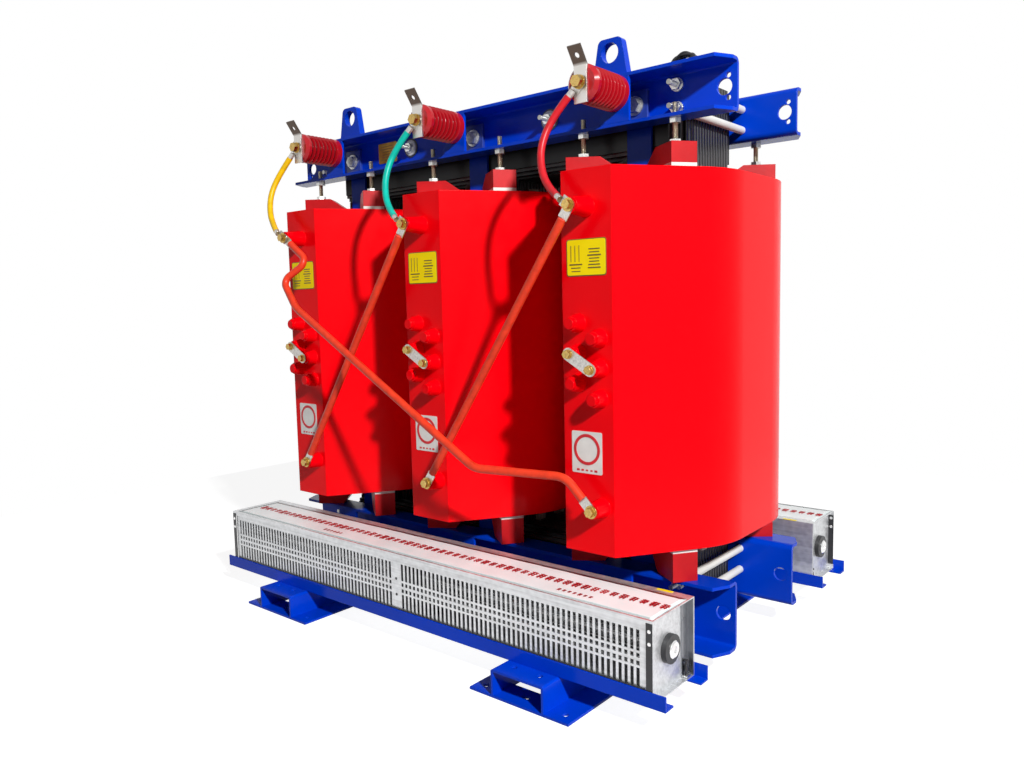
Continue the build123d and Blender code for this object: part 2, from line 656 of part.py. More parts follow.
def bend_radii(points):
    """Each bend as large as its two runs allow."""
    radii = []
    for before, corner, after in zip(points, points[1:], points[2:]):
        turn = (corner - before).get_angle(after - corner)
        shorter = min((corner - before).length, (after - corner).length)
        radii.append(ARC_SHARE * shorter / tan(radians(turn / 2)))
    return radii


def post_bolt_place(limb_x):
    return Vector(limb_x + POST_X, -POST_FRONT_Y - STRIP_SHEET - LUG_SHEET / 2, POST_Z)


def top_bolt_place(limb_x, palm_number):
    return Vector(limb_x, -PANEL_REACH - TOP_BOSS_REACH - (palm_number + 0.5) * LUG_SHEET, TOP_TERMINAL_Z)


def bottom_bolt_place(limb_x):
    return Vector(limb_x + BOTTOM_BOSS_X, -PANEL_REACH - BOTTOM_BOSS_REACH - LUG_SHEET / 2, BOTTOM_TERMINAL_Z)


def lead(limb_x, route):
    """A lead from post to coil, and the crimped lug on each of its ends."""
    middle = [Vector(limb_x + x, y, z) for x, y, z in route]
    ends, lugs = [], []
    for bolt, toward in ((post_bolt_place(limb_x), middle[0]), (top_bolt_place(limb_x, 1), middle[-1])):
        angle, neck = neck_end(bolt, toward, LEAD_NECK)
        neck -= Vector(0, (BARREL_D - LUG_SHEET) / 2, 0)
        end = neck + (toward - neck).normalized() * BARREL_LENGTH
        ends.append(end)
        lugs.append(palm(bolt, angle, LEAD_NECK) + bar_between(neck, end, BARREL_D))
    points = [ends[0]] + middle + [ends[1]]
    radii = bend_radii(points)
    print("lead radii", [round(r) for r in radii])
    return bent_bar(points, radii, LEAD_D), lugs


def delta_rod(limb_x, next_limb_x):
    """A straight link from a coil's top terminal to the bottom terminal of the coil on its left."""
    top, bottom = top_bolt_place(limb_x, 0), bottom_bolt_place(next_limb_x)
    top_angle, start = neck_end(top, bottom, LINK_NECK)
    bottom_angle, end = neck_end(bottom, top, LINK_NECK)
    gap = (end - start).normalized() * TOUCH
    return bar_between(start + gap, end - gap, LINK_D), [palm(top, top_angle, LINK_NECK), palm(bottom, bottom_angle, LINK_NECK)]


def delta_tube():
    """The bent link from the first coil's top terminal to the last coil's bottom terminal."""
    top, bottom = top_bolt_place(LIMBS[0], 0), bottom_bolt_place(LIMBS[-1])
    first = Vector(TUBE_FIRST[0], top.Y, TUBE_FIRST[1])
    last = Vector(TUBE_LAST[0], bottom.Y, TUBE_LAST[1])
    middle = [first] + [Vector(*point) for point in TUBE_MIDDLE] + [last]
    top_angle, start = neck_end(top, middle[0], LINK_NECK)
    bottom_angle, end = neck_end(bottom, middle[-1], LINK_NECK)
    tube = bent_bar([start] + middle + [end], TUBE_BENDS, LINK_D)
    return tube, [palm(top, top_angle, LINK_NECK), palm(bottom, bottom_angle, LINK_NECK)]


# ---------------------------------------------------------------- low-voltage side
def limb_spacers():
    z0, z1 = BOTTOM_YOKE_TOP, COIL_TOP - LV_SHORTER + SPACER_ABOVE
    inner, outer = LIMB_STEPS[0][0], LV_OUTER - LV_WALL
    strips = []
    for limb in LIMBS:
        for side_x in (-1, 1):
            for side_y in (-1, 1):
                x, y = limb + side_x * (inner + outer) / 2, side_y * SPACER_Y
                strips.append(Pos(x, y, (z0 + z1) / 2) * Box(outer - inner, SPACER_WIDTH, z1 - z0))
    return strips


def lv_angle_bar(limb_x, z_winding, z_far, reach):
    """Flat bar standing on the winding's end and folded to the rear at z_far."""
    way = 1 if z_far > z_winding else -1
    front, rear = LV_BAR_Y - LV_BAR_T / 2, LV_BAR_Y + LV_BAR_T / 2
    outline = [(front, z_winding), (front, z_far), (reach, z_far), (reach, z_far - way * LV_BAR_T),
               (rear, z_far - way * LV_BAR_T), (rear, z_winding)]
    body = along_x(outline, limb_x - LV_BAR_WIDTH / 2, limb_x + LV_BAR_WIDTH / 2)
    fold = [e for e in body.edges().filter_by(Axis.X) if abs(e.center().Y - front) + abs(e.center().Z - z_far) < 0.01]
    return fillet(fold, LV_BAR_BEND)


def lv_phase_bar(limb_x):
    z_far = COIL_TOP + LV_BAR_RISE + LV_BAR_T
    body = lv_angle_bar(limb_x, COIL_TOP - LV_SHORTER, z_far, LV_BAR_REACH)
    for step in range(2):
        y = LV_BAR_REACH - LV_HOLE_FROM_END - step * LV_HOLE_STEP
        body -= Pos(limb_x, y, z_far) * Cylinder(LV_HOLE / 2, 3 * LV_BAR_T)
    return body


def lv_star_bar():
    """Three risers from the lower ends of the windings into one bar, with the neutral terminal at its right."""
    z_far = COIL_BOTTOM - LV_BAR_RISE - LV_BAR_T
    y0 = LV_BAR_REACH - LV_BAR_T - LV_HOLE_STEP
    end = LIMBS[-1] + LV_BAR_WIDTH / 2 + STAR_BAR_OVER
    body = box_between(LIMBS[0] - LV_BAR_WIDTH / 2, end, y0, y0 + LV_BAR_T, z_far, z_far + STAR_BAR_HEIGHT)
    for limb in LIMBS:
        body += lv_angle_bar(limb, COIL_BOTTOM + LV_SHORTER, z_far, y0)
    for step in range(2):
        x = end - LV_HOLE_FROM_END - step * LV_HOLE_STEP
        body -= front_cylinder(LV_HOLE / 2, y0 - LV_BAR_T, y0 + 2 * LV_BAR_T, x, z_far + STAR_BAR_HEIGHT / 2)
    return body


def sensor_cable():
    """Coil of sensor cable standing on the top yoke."""
    middle = YOKE_TOP_Z + (CABLE_COIL_D + CABLE_COIL_THICKNESS) / 2
    return Pos(CABLE_COIL_X, 0, middle) * Rot(90, 0, 0) * Torus(CABLE_COIL_D / 2, CABLE_COIL_THICKNESS / 2)


def foot_bolts():
    """Hexagon heads on the lower clamp flanges, over the feet."""
    z = LOWER_CLAMP_BOTTOM + CLAMP_SHEET
    bolts = []
    for foot_x in (-FOOT_X, FOOT_X):
        for side_x in (-1, 1):
            for side_y in (-1, 1):
                x, y = foot_x + side_x * FOOT_BOLT_X, side_y * FOOT_BOLT_Y
                washer = Pos(x, y, z + WASHER_T / 2) * Cylinder(WASHER_D / 2, WASHER_T)
                bolts.append(washer + hex_along_z(NUT_AF, z + WASHER_T, NUT_T, x, y))
    return bolts


# ---------------------------------------------------------------- feet and rails
def foot(foot_x):
    """Hat-section cross member, with a floor plate closing each end of the hat."""
    half_top, half_spread, t = FOOT_TOP_WIDTH / 2, FOOT_SPREAD / 2, FOOT_SHEET
    outline = [(-half_spread, 0), (-half_spread, t), (-half_top, t), (-half_top, FOOT_HEIGHT),
               (half_top, FOOT_HEIGHT), (half_top, t), (half_spread, t), (half_spread, 0),
               (half_top - t, 0), (half_top - t, FOOT_HEIGHT - t), (-half_top + t, FOOT_HEIGHT - t), (-half_top + t, 0)]
    face = make_face(Polyline([(x, 0, z) for x, z in outline], close=True))
    half = FOOT_LENGTH / 2
    body = Pos(0, half, 0) * extrude(face, FOOT_LENGTH, dir=(0, -1, 0))
    tops = [e for e in body.edges().filter_by(Axis.Y) if e.center().Z > FOOT_HEIGHT - 0.01]
    body = fillet(tops, FOOT_BEND)
    for side in (-1, 1):
        edge = side * half
        inner = edge - side * FOOT_FLOOR_PLATE
        body += box_between(-half_top + t, half_top - t, min(edge, inner), max(edge, inner), 0, t)
        y = edge - side * FOOT_HOLE_FROM_END
        body -= Pos(0, y, t / 2) * Cylinder(FOOT_HOLE / 2, 3 * t)
        for cross in (-1, 1):
            body -= Pos(cross * FOOT_TOP_HOLE_SPAN / 2, y, FOOT_HEIGHT) * Cylinder(FOOT_HOLE / 2, 3 * t)
            body -= Pos(cross * FOOT_ANCHOR_X, edge - side * FOOT_ANCHOR_FROM_END, t / 2) * Cylinder(FOOT_HOLE / 2, 3 * t)
    return Pos(foot_x, 0, FLOOR) * body


def rail(y_outer, inward):
    """Angle rail: upright leg at y_outer, flat leg pointing inward."""
    z0, half = FLOOR + FOOT_HEIGHT, RAIL_LENGTH / 2
    tip, web = y_outer + inward * RAIL_LEG, y_outer + inward * RAIL_SHEET
    outline = [(y_outer, z0), (tip, z0), (tip, z0 + RAIL_SHEET), (web, z0 + RAIL_SHEET),
               (web, z0 + RAIL_LEG), (y_outer, z0 + RAIL_LEG)]
    return along_x(outline, -half, half)


# ---------------------------------------------------------------- fans
FAN_Z0 = FLOOR + FOOT_HEIGHT + RAIL_SHEET
FAN_Z1 = FAN_Z0 + FAN_HEIGHT
FAN_AXIS_Y = -(FAN_INNER_Y + FAN_OUTER_Y) / 2
FAN_AXIS_Z = (FAN_Z0 + FAN_Z1) / 2
FAN_END_X = FAN_LENGTH / 2 - FAN_END_RECESS      # outer face of the end plate


def fan_housing():
    """Folded sheet trough open to the front, with lips round the opening."""
    front, back, t = -FAN_OUTER_Y, -FAN_INNER_Y, FAN_SHEET
    outline = [(front, FAN_Z0), (back, FAN_Z0), (back, FAN_Z1), (front, FAN_Z1), (front, FAN_Z1 - FAN_LIP),
               (front + t, FAN_Z1 - FAN_LIP), (front + t, FAN_Z1 - t), (back - t, FAN_Z1 - t),
               (back - t, FAN_Z0 + t), (front + t, FAN_Z0 + t), (front + t, FAN_Z0 + FAN_LIP), (front, FAN_Z0 + FAN_LIP)]
    return along_x(outline, -FAN_LENGTH / 2, FAN_LENGTH / 2)


def fan_grille():
    """Slotted sheet behind the housing's lips: two fields with a plain strip between."""
    y0 = -FAN_OUTER_Y + FAN_SHEET
    half = FAN_END_X - FAN_SHEET
    sheet = box_between(-half, half, y0, y0 + GRILLE_SHEET, FAN_Z0 + FAN_SHEET, FAN_Z1 - FAN_SHEET)
    rows = [(side * SLOT_ROW_Z, SLOT_LENGTH) for side in (-1, 1)]
    rows += [(side * SQUARE_ROW_Z, SQUARE_HEIGHT) for side in (-1, 1)]
    slots = []
    for side in (-1, 1):
        for column in range(SLOT_COLUMNS):
            x = side * (SLOT_FIELD_HALF_GAP + SLOT_WIDTH / 2 + column * SLOT_PITCH)
            for rise, height in rows:
                slots.append(Pos(x, y0, FAN_AXIS_Z + rise) * Box(SLOT_WIDTH, 3 * FAN_SHEET, height))
    return sheet - slots


def fan_end_plates():
    plates = []
    for side in (-1, 1):
        outer = side * FAN_END_X
        inner = outer - side * FAN_SHEET
        plate = box_between(min(outer, inner), max(outer, inner), -FAN_OUTER_Y + FAN_SHEET,
                            -FAN_INNER_Y - FAN_SHEET, FAN_Z0 + FAN_SHEET, FAN_Z1 - FAN_SHEET)
        hole = Pos(outer, FAN_AXIS_Y, FAN_AXIS_Z) * Rot(0, 90, 0) * Cylinder(END_PLATE_HOLE / 2, 2 * FAN_END_RECESS)
        plates.append(plate - hole)
    return plates


def fan_corner_angles():
    """Upright angles that stiffen the inner corner of each recessed end."""
    angles = []
    for side in (-1, 1):
        y1 = -FAN_INNER_Y - FAN_SHEET
        z0, z1 = FAN_Z0 + FAN_SHEET, FAN_Z1 - FAN_SHEET
        on_plate = box_between(FAN_END_X, FAN_END_X + FAN_SHEET, y1 - CORNER_ANGLE_LEG, y1, z0, z1)
        on_wall = box_between(FAN_END_X, FAN_LENGTH / 2, y1 - FAN_SHEET, y1, z0, z1)
        angle = on_plate + on_wall
        angles.append(angle if side > 0 else mirror(angle, about=Plane.YZ))
    return angles


def fan_bearings():
    bearings = []
    for side in (-1, 1):
        middle = side * (FAN_END_X + BEARING_T / 2)
        place = Pos(middle, FAN_AXIS_Y, FAN_AXIS_Z) * Rot(0, 90, 0)
        bearings.append(place * (Cylinder(BEARING_D / 2, BEARING_T)
                                 - Cylinder(ROTOR_SHAFT_D / 2 + ROTOR_RUNNING_GAP, 2 * BEARING_T)))
    return bearings


def fan_motor():
    """Motor on a foot standing on the housing floor, bored for the shaft."""
    body = Pos(0, FAN_AXIS_Y, FAN_AXIS_Z) * Rot(0, 90, 0) * Cylinder(MOTOR_D / 2, MOTOR_LENGTH)
    body += box_between(-MOTOR_LENGTH / 2, MOTOR_LENGTH / 2, FAN_AXIS_Y - MOTOR_D / 4, FAN_AXIS_Y + MOTOR_D / 4,
                        FAN_Z0 + FAN_SHEET, FAN_AXIS_Z - MOTOR_D / 4)
    bore = Cylinder(ROTOR_SHAFT_D / 2 + ROTOR_RUNNING_GAP, 2 * MOTOR_LENGTH)
    return body - Pos(0, FAN_AXIS_Y, FAN_AXIS_Z) * Rot(0, 90, 0) * bore


def fan_rotor():
    """Cross-flow rotor: two bladed drums on one shaft through the motor."""
    shaft_half = FAN_END_X + BEARING_T
    rotor = Cylinder(ROTOR_SHAFT_D / 2, 2 * shaft_half)
    start = MOTOR_LENGTH / 2 + MOTOR_ROTOR_GAP
    end = FAN_END_X - ROTOR_FROM_END
    for side in (-1, 1):
        for x in (start, end):
            rotor += Pos(0, 0, side * x) * Cylinder(ROTOR_D / 2, ROTOR_DISC)
        for blade in range(ROTOR_BLADES):
            turn = Rot(0, 0, blade * 360 / ROTOR_BLADES)
            rotor += turn * Pos(ROTOR_D / 2 - BLADE_DEPTH / 2, 0, side * (start + end) / 2) * Box(
                BLADE_DEPTH, BLADE_THICKNESS, end - start)
    return Pos(0, FAN_AXIS_Y, FAN_AXIS_Z) * Rot(0, 90, 0) * rotor


# ---------------------------------------------------------------- everything by name
def parts():
    named = {}
    named["core_limbs"] = core_limbs()
    top_yoke = yoke(TOP_YOKE_BOTTOM, YOKE_TOP_Z)
    for x, z in upper_stud_places():
        top_yoke -= front_cylinder(SLEEVE_D / 2 + TOUCH, -CLAMP_WEB_Y, CLAMP_WEB_Y, x, z)
    named["core_top_yoke"] = [top_yoke]
    named["core_bottom_yoke"] = [yoke(BOTTOM_YOKE_BOTTOM, BOTTOM_YOKE_TOP)]
    for number, limb in enumerate(LIMBS, 1):
        named[f"hv_coil_{number}"] = [hv_coil(limb)]
        named[f"lv_winding_{number}"] = [lv_winding(limb)]
        named[f"post_insulator_{number}"] = [post_insulator(limb)]
    named["upper_clamp_front"] = [upper_clamp()]
    named["upper_clamp_rear"] = [to_rear(upper_clamp())]
    named["lower_clamp_front"] = [lower_clamp()]
    named["lower_clamp_rear"] = [to_rear(lower_clamp())]
    named["lifting_lugs"] = [lifting_lug(x, y) for x in (-LUG_X, LUG_X) for y in (-1, 1)]
    named["insulator_brackets"] = [bracket(x, UPPER_CLAMP_BOTTOM, UPPER_CLAMP_TOP, UPPER_TIP_Y) for x in LIMBS]
    lower = [bracket(x, LOWER_CLAMP_BOTTOM, LOWER_CLAMP_TOP, LOWER_TIP_Y) for x in LIMBS]
    named["lower_gussets"] = lower + [to_rear(g) for g in lower]
    named["tie_plates"] = [t for x in LIMBS for t in (tie_plate(x), to_rear(tie_plate(x)))]
    named["tie_plate_pads"] = [t for x in LIMBS for t in (tie_pad(x), to_rear(tie_pad(x)))]
    named["tie_plate_bolts"] = [t for x in LIMBS for t in (tie_bolt(x), to_rear(tie_bolt(x)))]
    named["support_blocks_top"] = round_the_coils(block_shape(TOP_BLOCK_HEIGHT, False), COIL_TOP + PAD_THICKNESS)
    named["support_blocks_bottom"] = round_the_coils(block_shape(BLOCK_HEIGHT, True), LOWER_CLAMP_TOP)
    named["coil_pads"] = pads(COIL_TOP) + pads(COIL_BOTTOM - PAD_THICKNESS)
    named["jack_screws"] = jack_screws()
    named["jack_nuts"] = jack_nuts()
    named["clamp_studs"] = stud_group(upper_stud_places() + lower_stud_places())
    named["stud_sleeves"] = sleeve_group(upper_stud_places() + lower_stud_places())
    named["stud_nuts"] = stud_nuts(upper_stud_places() + lower_stud_places())
    named["terminal_strips"] = [terminal_strip(x) for x in LIMBS]
    named["insulator_bolts"] = [terminal_bolt(x) for x in LIMBS]
    named["coil_terminal_bolts"] = coil_bolts()
    lugs = []
    for number, (limb, route) in enumerate(zip(LIMBS, LEAD_ROUTES), 1):
        cable, ends = lead(limb, route)
        named[f"hv_lead_{number}"] = [cable]
        lugs += ends
    rods = [delta_rod(LIMBS[1], LIMBS[0]), delta_rod(LIMBS[2], LIMBS[1])]
    tube, tube_lugs = delta_tube()
    named["delta_rods"] = [rod for rod, ends in rods]
    named["delta_tube"] = [tube]
    named["lead_lugs"] = lugs + [end for rod, ends in rods for end in ends] + tube_lugs
    named["limb_spacers"] = limb_spacers()
    named["lv_busbars"] = [lv_phase_bar(x) for x in LIMBS] + [lv_star_bar()]
    named["sensor_cable"] = [sensor_cable()]
    named["foot_bolts"] = foot_bolts()
    named["tap_links"] = [tap_link(x) for x in LIMBS]
    named["tap_bolts"] = tap_bolts()
    named["foot_left"] = [foot(-FOOT_X)]
    named["foot_right"] = [foot(FOOT_X)]
    outer, inner = -FAN_OUTER_Y - RAIL_SHEET, -FAN_INNER_Y + RAIL_SHEET
    fan = {
        "fan_rails": [rail(outer, 1), rail(inner, -1)],
        "fan_housing": [fan_housing()],
        "fan_grille": [fan_grille()],
        "fan_motor": [fan_motor()],
        "fan_rotor": [fan_rotor()],
    }
    for name, pieces in fan.items():
        named[f"{name}_front"] = pieces
        named[f"{name}_rear"] = [to_rear(piece) for piece in pieces]
    named["fan_end_plates"] = fan_end_plates() + [to_rear(p) for p in fan_end_plates()]
    named["fan_corner_angles"] = fan_corner_angles() + [to_rear(p) for p in fan_corner_angles()]
    named["fan_bearings"] = fan_bearings() + [to_rear(p) for p in fan_bearings()]
    return named


os.makedirs("parts", exist_ok=True)
for name, solids in parts().items():
    shape = solids[0] if len(solids) == 1 else Compound(children=list(solids))
    export_step(shape, f"parts/{name}.step")
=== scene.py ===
"""The looks of an open cast-resin dry type transformer with cross-flow fans.

Metres, +Z up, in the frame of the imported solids: +X along the row of coils, -Y towards the high-voltage side.
"""

import json
import math

import bmesh
import bpy
from mathutils import Matrix, Vector


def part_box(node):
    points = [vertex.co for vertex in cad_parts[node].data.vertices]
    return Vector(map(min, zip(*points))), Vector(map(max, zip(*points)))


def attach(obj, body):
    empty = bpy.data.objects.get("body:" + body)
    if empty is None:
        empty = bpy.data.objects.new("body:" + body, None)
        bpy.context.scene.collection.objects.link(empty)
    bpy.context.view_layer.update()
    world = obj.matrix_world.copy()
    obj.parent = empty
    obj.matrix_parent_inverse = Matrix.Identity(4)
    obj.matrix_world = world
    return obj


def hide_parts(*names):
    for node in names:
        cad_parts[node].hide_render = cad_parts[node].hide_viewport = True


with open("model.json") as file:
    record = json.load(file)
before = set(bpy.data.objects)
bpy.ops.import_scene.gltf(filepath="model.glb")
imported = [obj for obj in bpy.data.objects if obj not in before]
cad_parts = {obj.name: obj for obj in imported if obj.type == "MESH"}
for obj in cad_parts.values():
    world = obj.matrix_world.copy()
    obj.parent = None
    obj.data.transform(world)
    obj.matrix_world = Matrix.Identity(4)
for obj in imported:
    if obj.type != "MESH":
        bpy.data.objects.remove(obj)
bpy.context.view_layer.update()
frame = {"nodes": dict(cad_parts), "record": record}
nodes = frame["nodes"]

# ------------------------------------------------------------------ places read from the solids
COILS = [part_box(f"hv_coil_{number}") for number in (1, 2, 3)]
LIMBS = [(low.x + high.x) / 2 for low, high in COILS]
COIL_TOP = COILS[0][1].z
FAN_LOW, FAN_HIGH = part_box("fan_housing_front")
FAN_END = FAN_HIGH.x
FAN_TOP = FAN_HIGH.z
FAN_FRONT = -FAN_LOW.y      # grille side of either fan, from the middle of the transformer
FAN_INNER = -FAN_HIGH.y     # the side that faces the coils
GRILLE_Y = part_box("fan_grille_front")[0].y
BEARING_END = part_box("fan_bearings")[1].x

# ------------------------------------------------------------------ places given
FAN_SIDES = {"front": -1, "rear": 1}        # the way that each fan faces along Y
FAN_ENDS = {"left": -1, "right": 1}
SHAFT_Y = 0.439
SHAFT_Z = 0.1575
PANEL_Y = -0.393            # face of every terminal panel
CLAMP_WEB_Y = 0.174         # outer face of the clamps' webs
STUD_X = 0.258              # middle studs of the upper clamps
STUD_Z = 1.342
STRIP_BEND_Z = 1.3935       # where the terminal strips bend forward
SKIN = 0.0006               # thickness of a plate or print
SEED = 7


# ------------------------------------------------------------------ parts of a material
def new_material(name):
    """An empty node material with its shader, and handles to both."""
    material = bpy.data.materials.new(name)
    material.use_nodes = True
    tree = material.node_tree
    shader = tree.nodes["Principled BSDF"]
    return material, tree, shader


def object_coordinates(tree, scale=(1.0, 1.0, 1.0)):
    coordinates = tree.nodes.new("ShaderNodeTexCoord")
    mapping = tree.nodes.new("ShaderNodeMapping")
    mapping.inputs["Scale"].default_value = scale
    tree.links.new(coordinates.outputs["Object"], mapping.inputs["Vector"])
    return mapping.outputs["Vector"]


def noise(tree, vector, scale, detail=3.0, roughness=0.5):
    texture = tree.nodes.new("ShaderNodeTexNoise")
    texture.inputs["Scale"].default_value = scale
    texture.inputs["Detail"].default_value = detail
    texture.inputs["Roughness"].default_value = roughness
    tree.links.new(vector, texture.inputs["Vector"])
    return texture.outputs["Fac"]


def bands(tree, vector, direction, scale, distortion=0.0):
    """Light and dark bands that follow one another along X, Y or Z."""
    texture = tree.nodes.new("ShaderNodeTexWave")
    texture.bands_direction = direction
    texture.inputs["Scale"].default_value = scale
    texture.inputs["Distortion"].default_value = distortion
    tree.links.new(vector, texture.inputs["Vector"])
    return texture.outputs["Fac"]


def math_node(tree, operation, *values):
    """One Math node; each value is a socket or a number."""
    node = tree.nodes.new("ShaderNodeMath")
    node.operation = operation
    for place, value in enumerate(values):
        if isinstance(value, bpy.types.NodeSocket):
            tree.links.new(value, node.inputs[place])
        else:
            node.inputs[place].default_value = value
    return node.outputs["Value"]


def value_range(tree, factor, low, high):
    node = tree.nodes.new("ShaderNodeMapRange")
    node.inputs["To Min"].default_value = low
    node.inputs["To Max"].default_value = high
    tree.links.new(factor, node.inputs["Value"])
    return node.outputs["Result"]


def ramp(tree, factor, stops):
    """Colours between the given (position, colour) stops."""
    node = tree.nodes.new("ShaderNodeValToRGB")
    elements = node.color_ramp.elements
    while len(elements) < len(stops):
        elements.new(0.5)
    for element, (position, colour) in zip(elements, stops):
        element.position = position
        element.color = (*colour, 1.0)
    tree.links.new(factor, node.inputs["Fac"])
    return node.outputs["Color"]


def shades(colour, spread):
    """A darker and a lighter tone of one colour."""
    return tuple(c * (1 - spread) for c in colour), tuple(min(1.0, c * (1 + spread)) for c in colour)


def two_tone(tree, shader, factor, colour, spread, start=0.3, end=0.7):
    """Base colour from a darker to a lighter tone, as the factor goes from start to end."""
    dark, light = shades(colour, spread)
    tree.links.new(ramp(tree, factor, [(start, dark), (end, light)]), shader.inputs["Base Color"])


def uneven_gloss(tree, shader, factor, low, high):
    tree.links.new(value_range(tree, factor, low, high), shader.inputs["Roughness"])


def soft_edges(tree, radius):
    node = tree.nodes.new("ShaderNodeBevel")
    node.samples = 4
    node.inputs["Radius"].default_value = radius
    return node.outputs["Normal"]


def bump(tree, shader, height, strength, distance, under=None):
    """Small relief on the shader, laid over another normal where one is given."""
    node = tree.nodes.new("ShaderNodeBump")
    node.inputs["Strength"].default_value = strength
    node.inputs["Distance"].default_value = distance
    tree.links.new(height, node.inputs["Height"])
    if under is not None:
        tree.links.new(under, node.inputs["Normal"])
    tree.links.new(node.outputs["Normal"], shader.inputs["Normal"])


# ------------------------------------------------------------------ kinds of finish
def coated(name, colour, roughness, spread=0.12, patch=6.0, wave=0.35, edge=0.0015, shine=0.5):
    """Sprayed paint or cast resin: slow colour drift, uneven gloss, faint ripples and soft edges."""
    material, tree, shader = new_material(name)
    vector = object_coordinates(tree)
    two_tone(tree, shader, noise(tree, vector, patch, 4.0), colour, spread)
    uneven_gloss(tree, shader, noise(tree, vector, patch * 9), roughness * 0.75, roughness * 1.3)
    ripple = noise(tree, vector, 160.0, 2.0)
    bump(tree, shader, ripple, wave, 0.0006, soft_edges(tree, edge))
    shader.inputs["Specular IOR Level"].default_value = shine
    return material


def plated(name, colour, roughness, scale=220.0, spread=0.25):
    """Zinc, tin or brass plating with a mottled, slightly dulled surface."""
    material, tree, shader = new_material(name)
    mottle = noise(tree, object_coordinates(tree), scale, 5.0, 0.65)
    two_tone(tree, shader, mottle, colour, spread, 0.32, 0.68)
    uneven_gloss(tree, shader, mottle, roughness * 0.6, roughness * 1.5)
    shader.inputs["Metallic"].default_value = 1.0
    bump(tree, shader, mottle, 0.25, 0.0004, soft_edges(tree, 0.0008))
    return material


def threaded(name, colour, direction):
    """Plated rod with a rolled thread along X, Y or Z, with painted shade in the thread's grooves and lighter
    crests.
    """
    material, tree, shader = new_material(name)
    # The thread's bands give its relief and also the colour: painted shade in the grooves, lighter crests.
    thread_ridges_and_shade = bands(tree, object_coordinates(tree), direction, 180.0)
    two_tone(tree, shader, thread_ridges_and_shade, colour, 0.45, 0.2, 0.8)
    shader.inputs["Metallic"].default_value = 1.0
    shader.inputs["Roughness"].default_value = 0.38
    bump(tree, shader, thread_ridges_and_shade, 0.8, 0.001)
    return material


def spangled(name, colour):
    """Hot-dip galvanised sheet: large zinc crystals with rolling streaks."""
    material, tree, shader = new_material(name)
    crystals = tree.nodes.new("ShaderNodeTexVoronoi")
    crystals.inputs["Scale"].default_value = 70.0
    tree.links.new(object_coordinates(tree), crystals.inputs["Vector"])
    streaks = noise(tree, object_coordinates(tree, (2.0, 60.0, 60.0)), 3.0, 4.0)
    mix = math_node(tree, "MULTIPLY_ADD", crystals.outputs["Distance"], 0.35, streaks)
    two_tone(tree, shader, mix, colour, 0.18, 0.35, 0.85)
    uneven_gloss(tree, shader, mix, 0.28, 0.5)
    shader.inputs["Metallic"].default_value = 0.75
    bump(tree, shader, streaks, 0.15, 0.0006)
    return material


def laminated(name, colour):
    """Lacquered core: the edges of thin sheets stacked from front to back, in relief, with painted highlights
    on the raised edges and painted shade between them.
    """
    material, tree, shader = new_material(name)
    # The same bands give the sheet edges' relief and the colour stripes: light stripes are painted highlights,
    # dark stripes painted shade.
    sheet_edges_and_sheen = bands(tree, object_coordinates(tree), "Y", 22.0, 0.6)
    two_tone(tree, shader, sheet_edges_and_sheen, colour, 0.85, 0.35, 0.65)
    shader.inputs["Roughness"].default_value = 0.3
    shader.inputs["Specular IOR Level"].default_value = 0.2
    bump(tree, shader, sheet_edges_and_sheen, 0.8, 0.004)
    return material


def grooved(name, colour, start, pitch, ribs):
    """Cast post with shade in its ring grooves, which follow one another along -Y from the given start."""
    material, tree, shader = new_material(name)
    parted = tree.nodes.new("ShaderNodeSeparateXYZ")
    tree.links.new(object_coordinates(tree), parted.inputs["Vector"])
    reach = math_node(tree, "ABSOLUTE", parted.outputs["Y"])
    along = math_node(tree, "DIVIDE", math_node(tree, "SUBTRACT", reach, start), pitch)
    past_first = math_node(tree, "GREATER_THAN", along, 0.0)
    before_last = math_node(tree, "LESS_THAN", along, float(ribs))
    inside = math_node(tree, "MULTIPLY", past_first, before_last)
    half_turn = math_node(tree, "MULTIPLY", math_node(tree, "FRACT", along), math.pi)
    groove = math_node(tree, "POWER", math_node(tree, "SINE", half_turn), 2.0)
    shade = math_node(tree, "MULTIPLY", groove, inside)
    dark = shades(colour, 0.8)[0]
    tree.links.new(ramp(tree, shade, [(0.35, colour), (0.9, dark)]), shader.inputs["Base Color"])
    shader.inputs["Roughness"].default_value = 0.16
    shader.inputs["Specular IOR Level"].default_value = 0.35
    bump(tree, shader, math_node(tree, "SUBTRACT", 1.0, shade), 0.6, 0.003, soft_edges(tree, 0.001))
    return material


def strip_with_shaded_tab(name, strip_colour, tab_shade_colour, height):
    """Tinned strip whose bent tab, above the given height, is dark brown: painted shade for the tab's
    underside, which lies in shade.
    """
    material, tree, shader = new_material(name)
    vector = object_coordinates(tree)
    parted = tree.nodes.new("ShaderNodeSeparateXYZ")
    tree.links.new(vector, parted.inputs["Vector"])
    edge = tree.nodes.new("ShaderNodeMapRange")
    edge.inputs["From Min"].default_value = height - 0.003
    edge.inputs["From Max"].default_value = height + 0.003
    tree.links.new(parted.outputs["Z"], edge.inputs["Value"])
    # Above the bend the colour turns dark brown: painted shade on the tab.
    painted_tab_shade = ramp(tree, edge.outputs["Result"], [(0.0, strip_colour), (1.0, tab_shade_colour)])
    tree.links.new(painted_tab_shade, shader.inputs["Base Color"])
    blotches = noise(tree, vector, 40.0, 4.0)
    uneven_gloss(tree, shader, blotches, 0.25, 0.5)
    shader.inputs["Metallic"].default_value = 1.0
    bump(tree, shader, blotches, 0.2, 0.0005, soft_edges(tree, 0.0008))
    return material


def sleeved(name, colour):
    """Extruded insulation: faint length-wise flow marks and a waxy gloss."""
    material, tree, shader = new_material(name)
    flow = noise(tree, object_coordinates(tree), 45.0, 4.0)
    two_tone(tree, shader, flow, colour, 0.15)
    uneven_gloss(tree, shader, flow, 0.256, 0.416)
    shader.inputs["Specular IOR Level"].default_value = 0.25
    bump(tree, shader, flow, 0.3, 0.001)
    return material


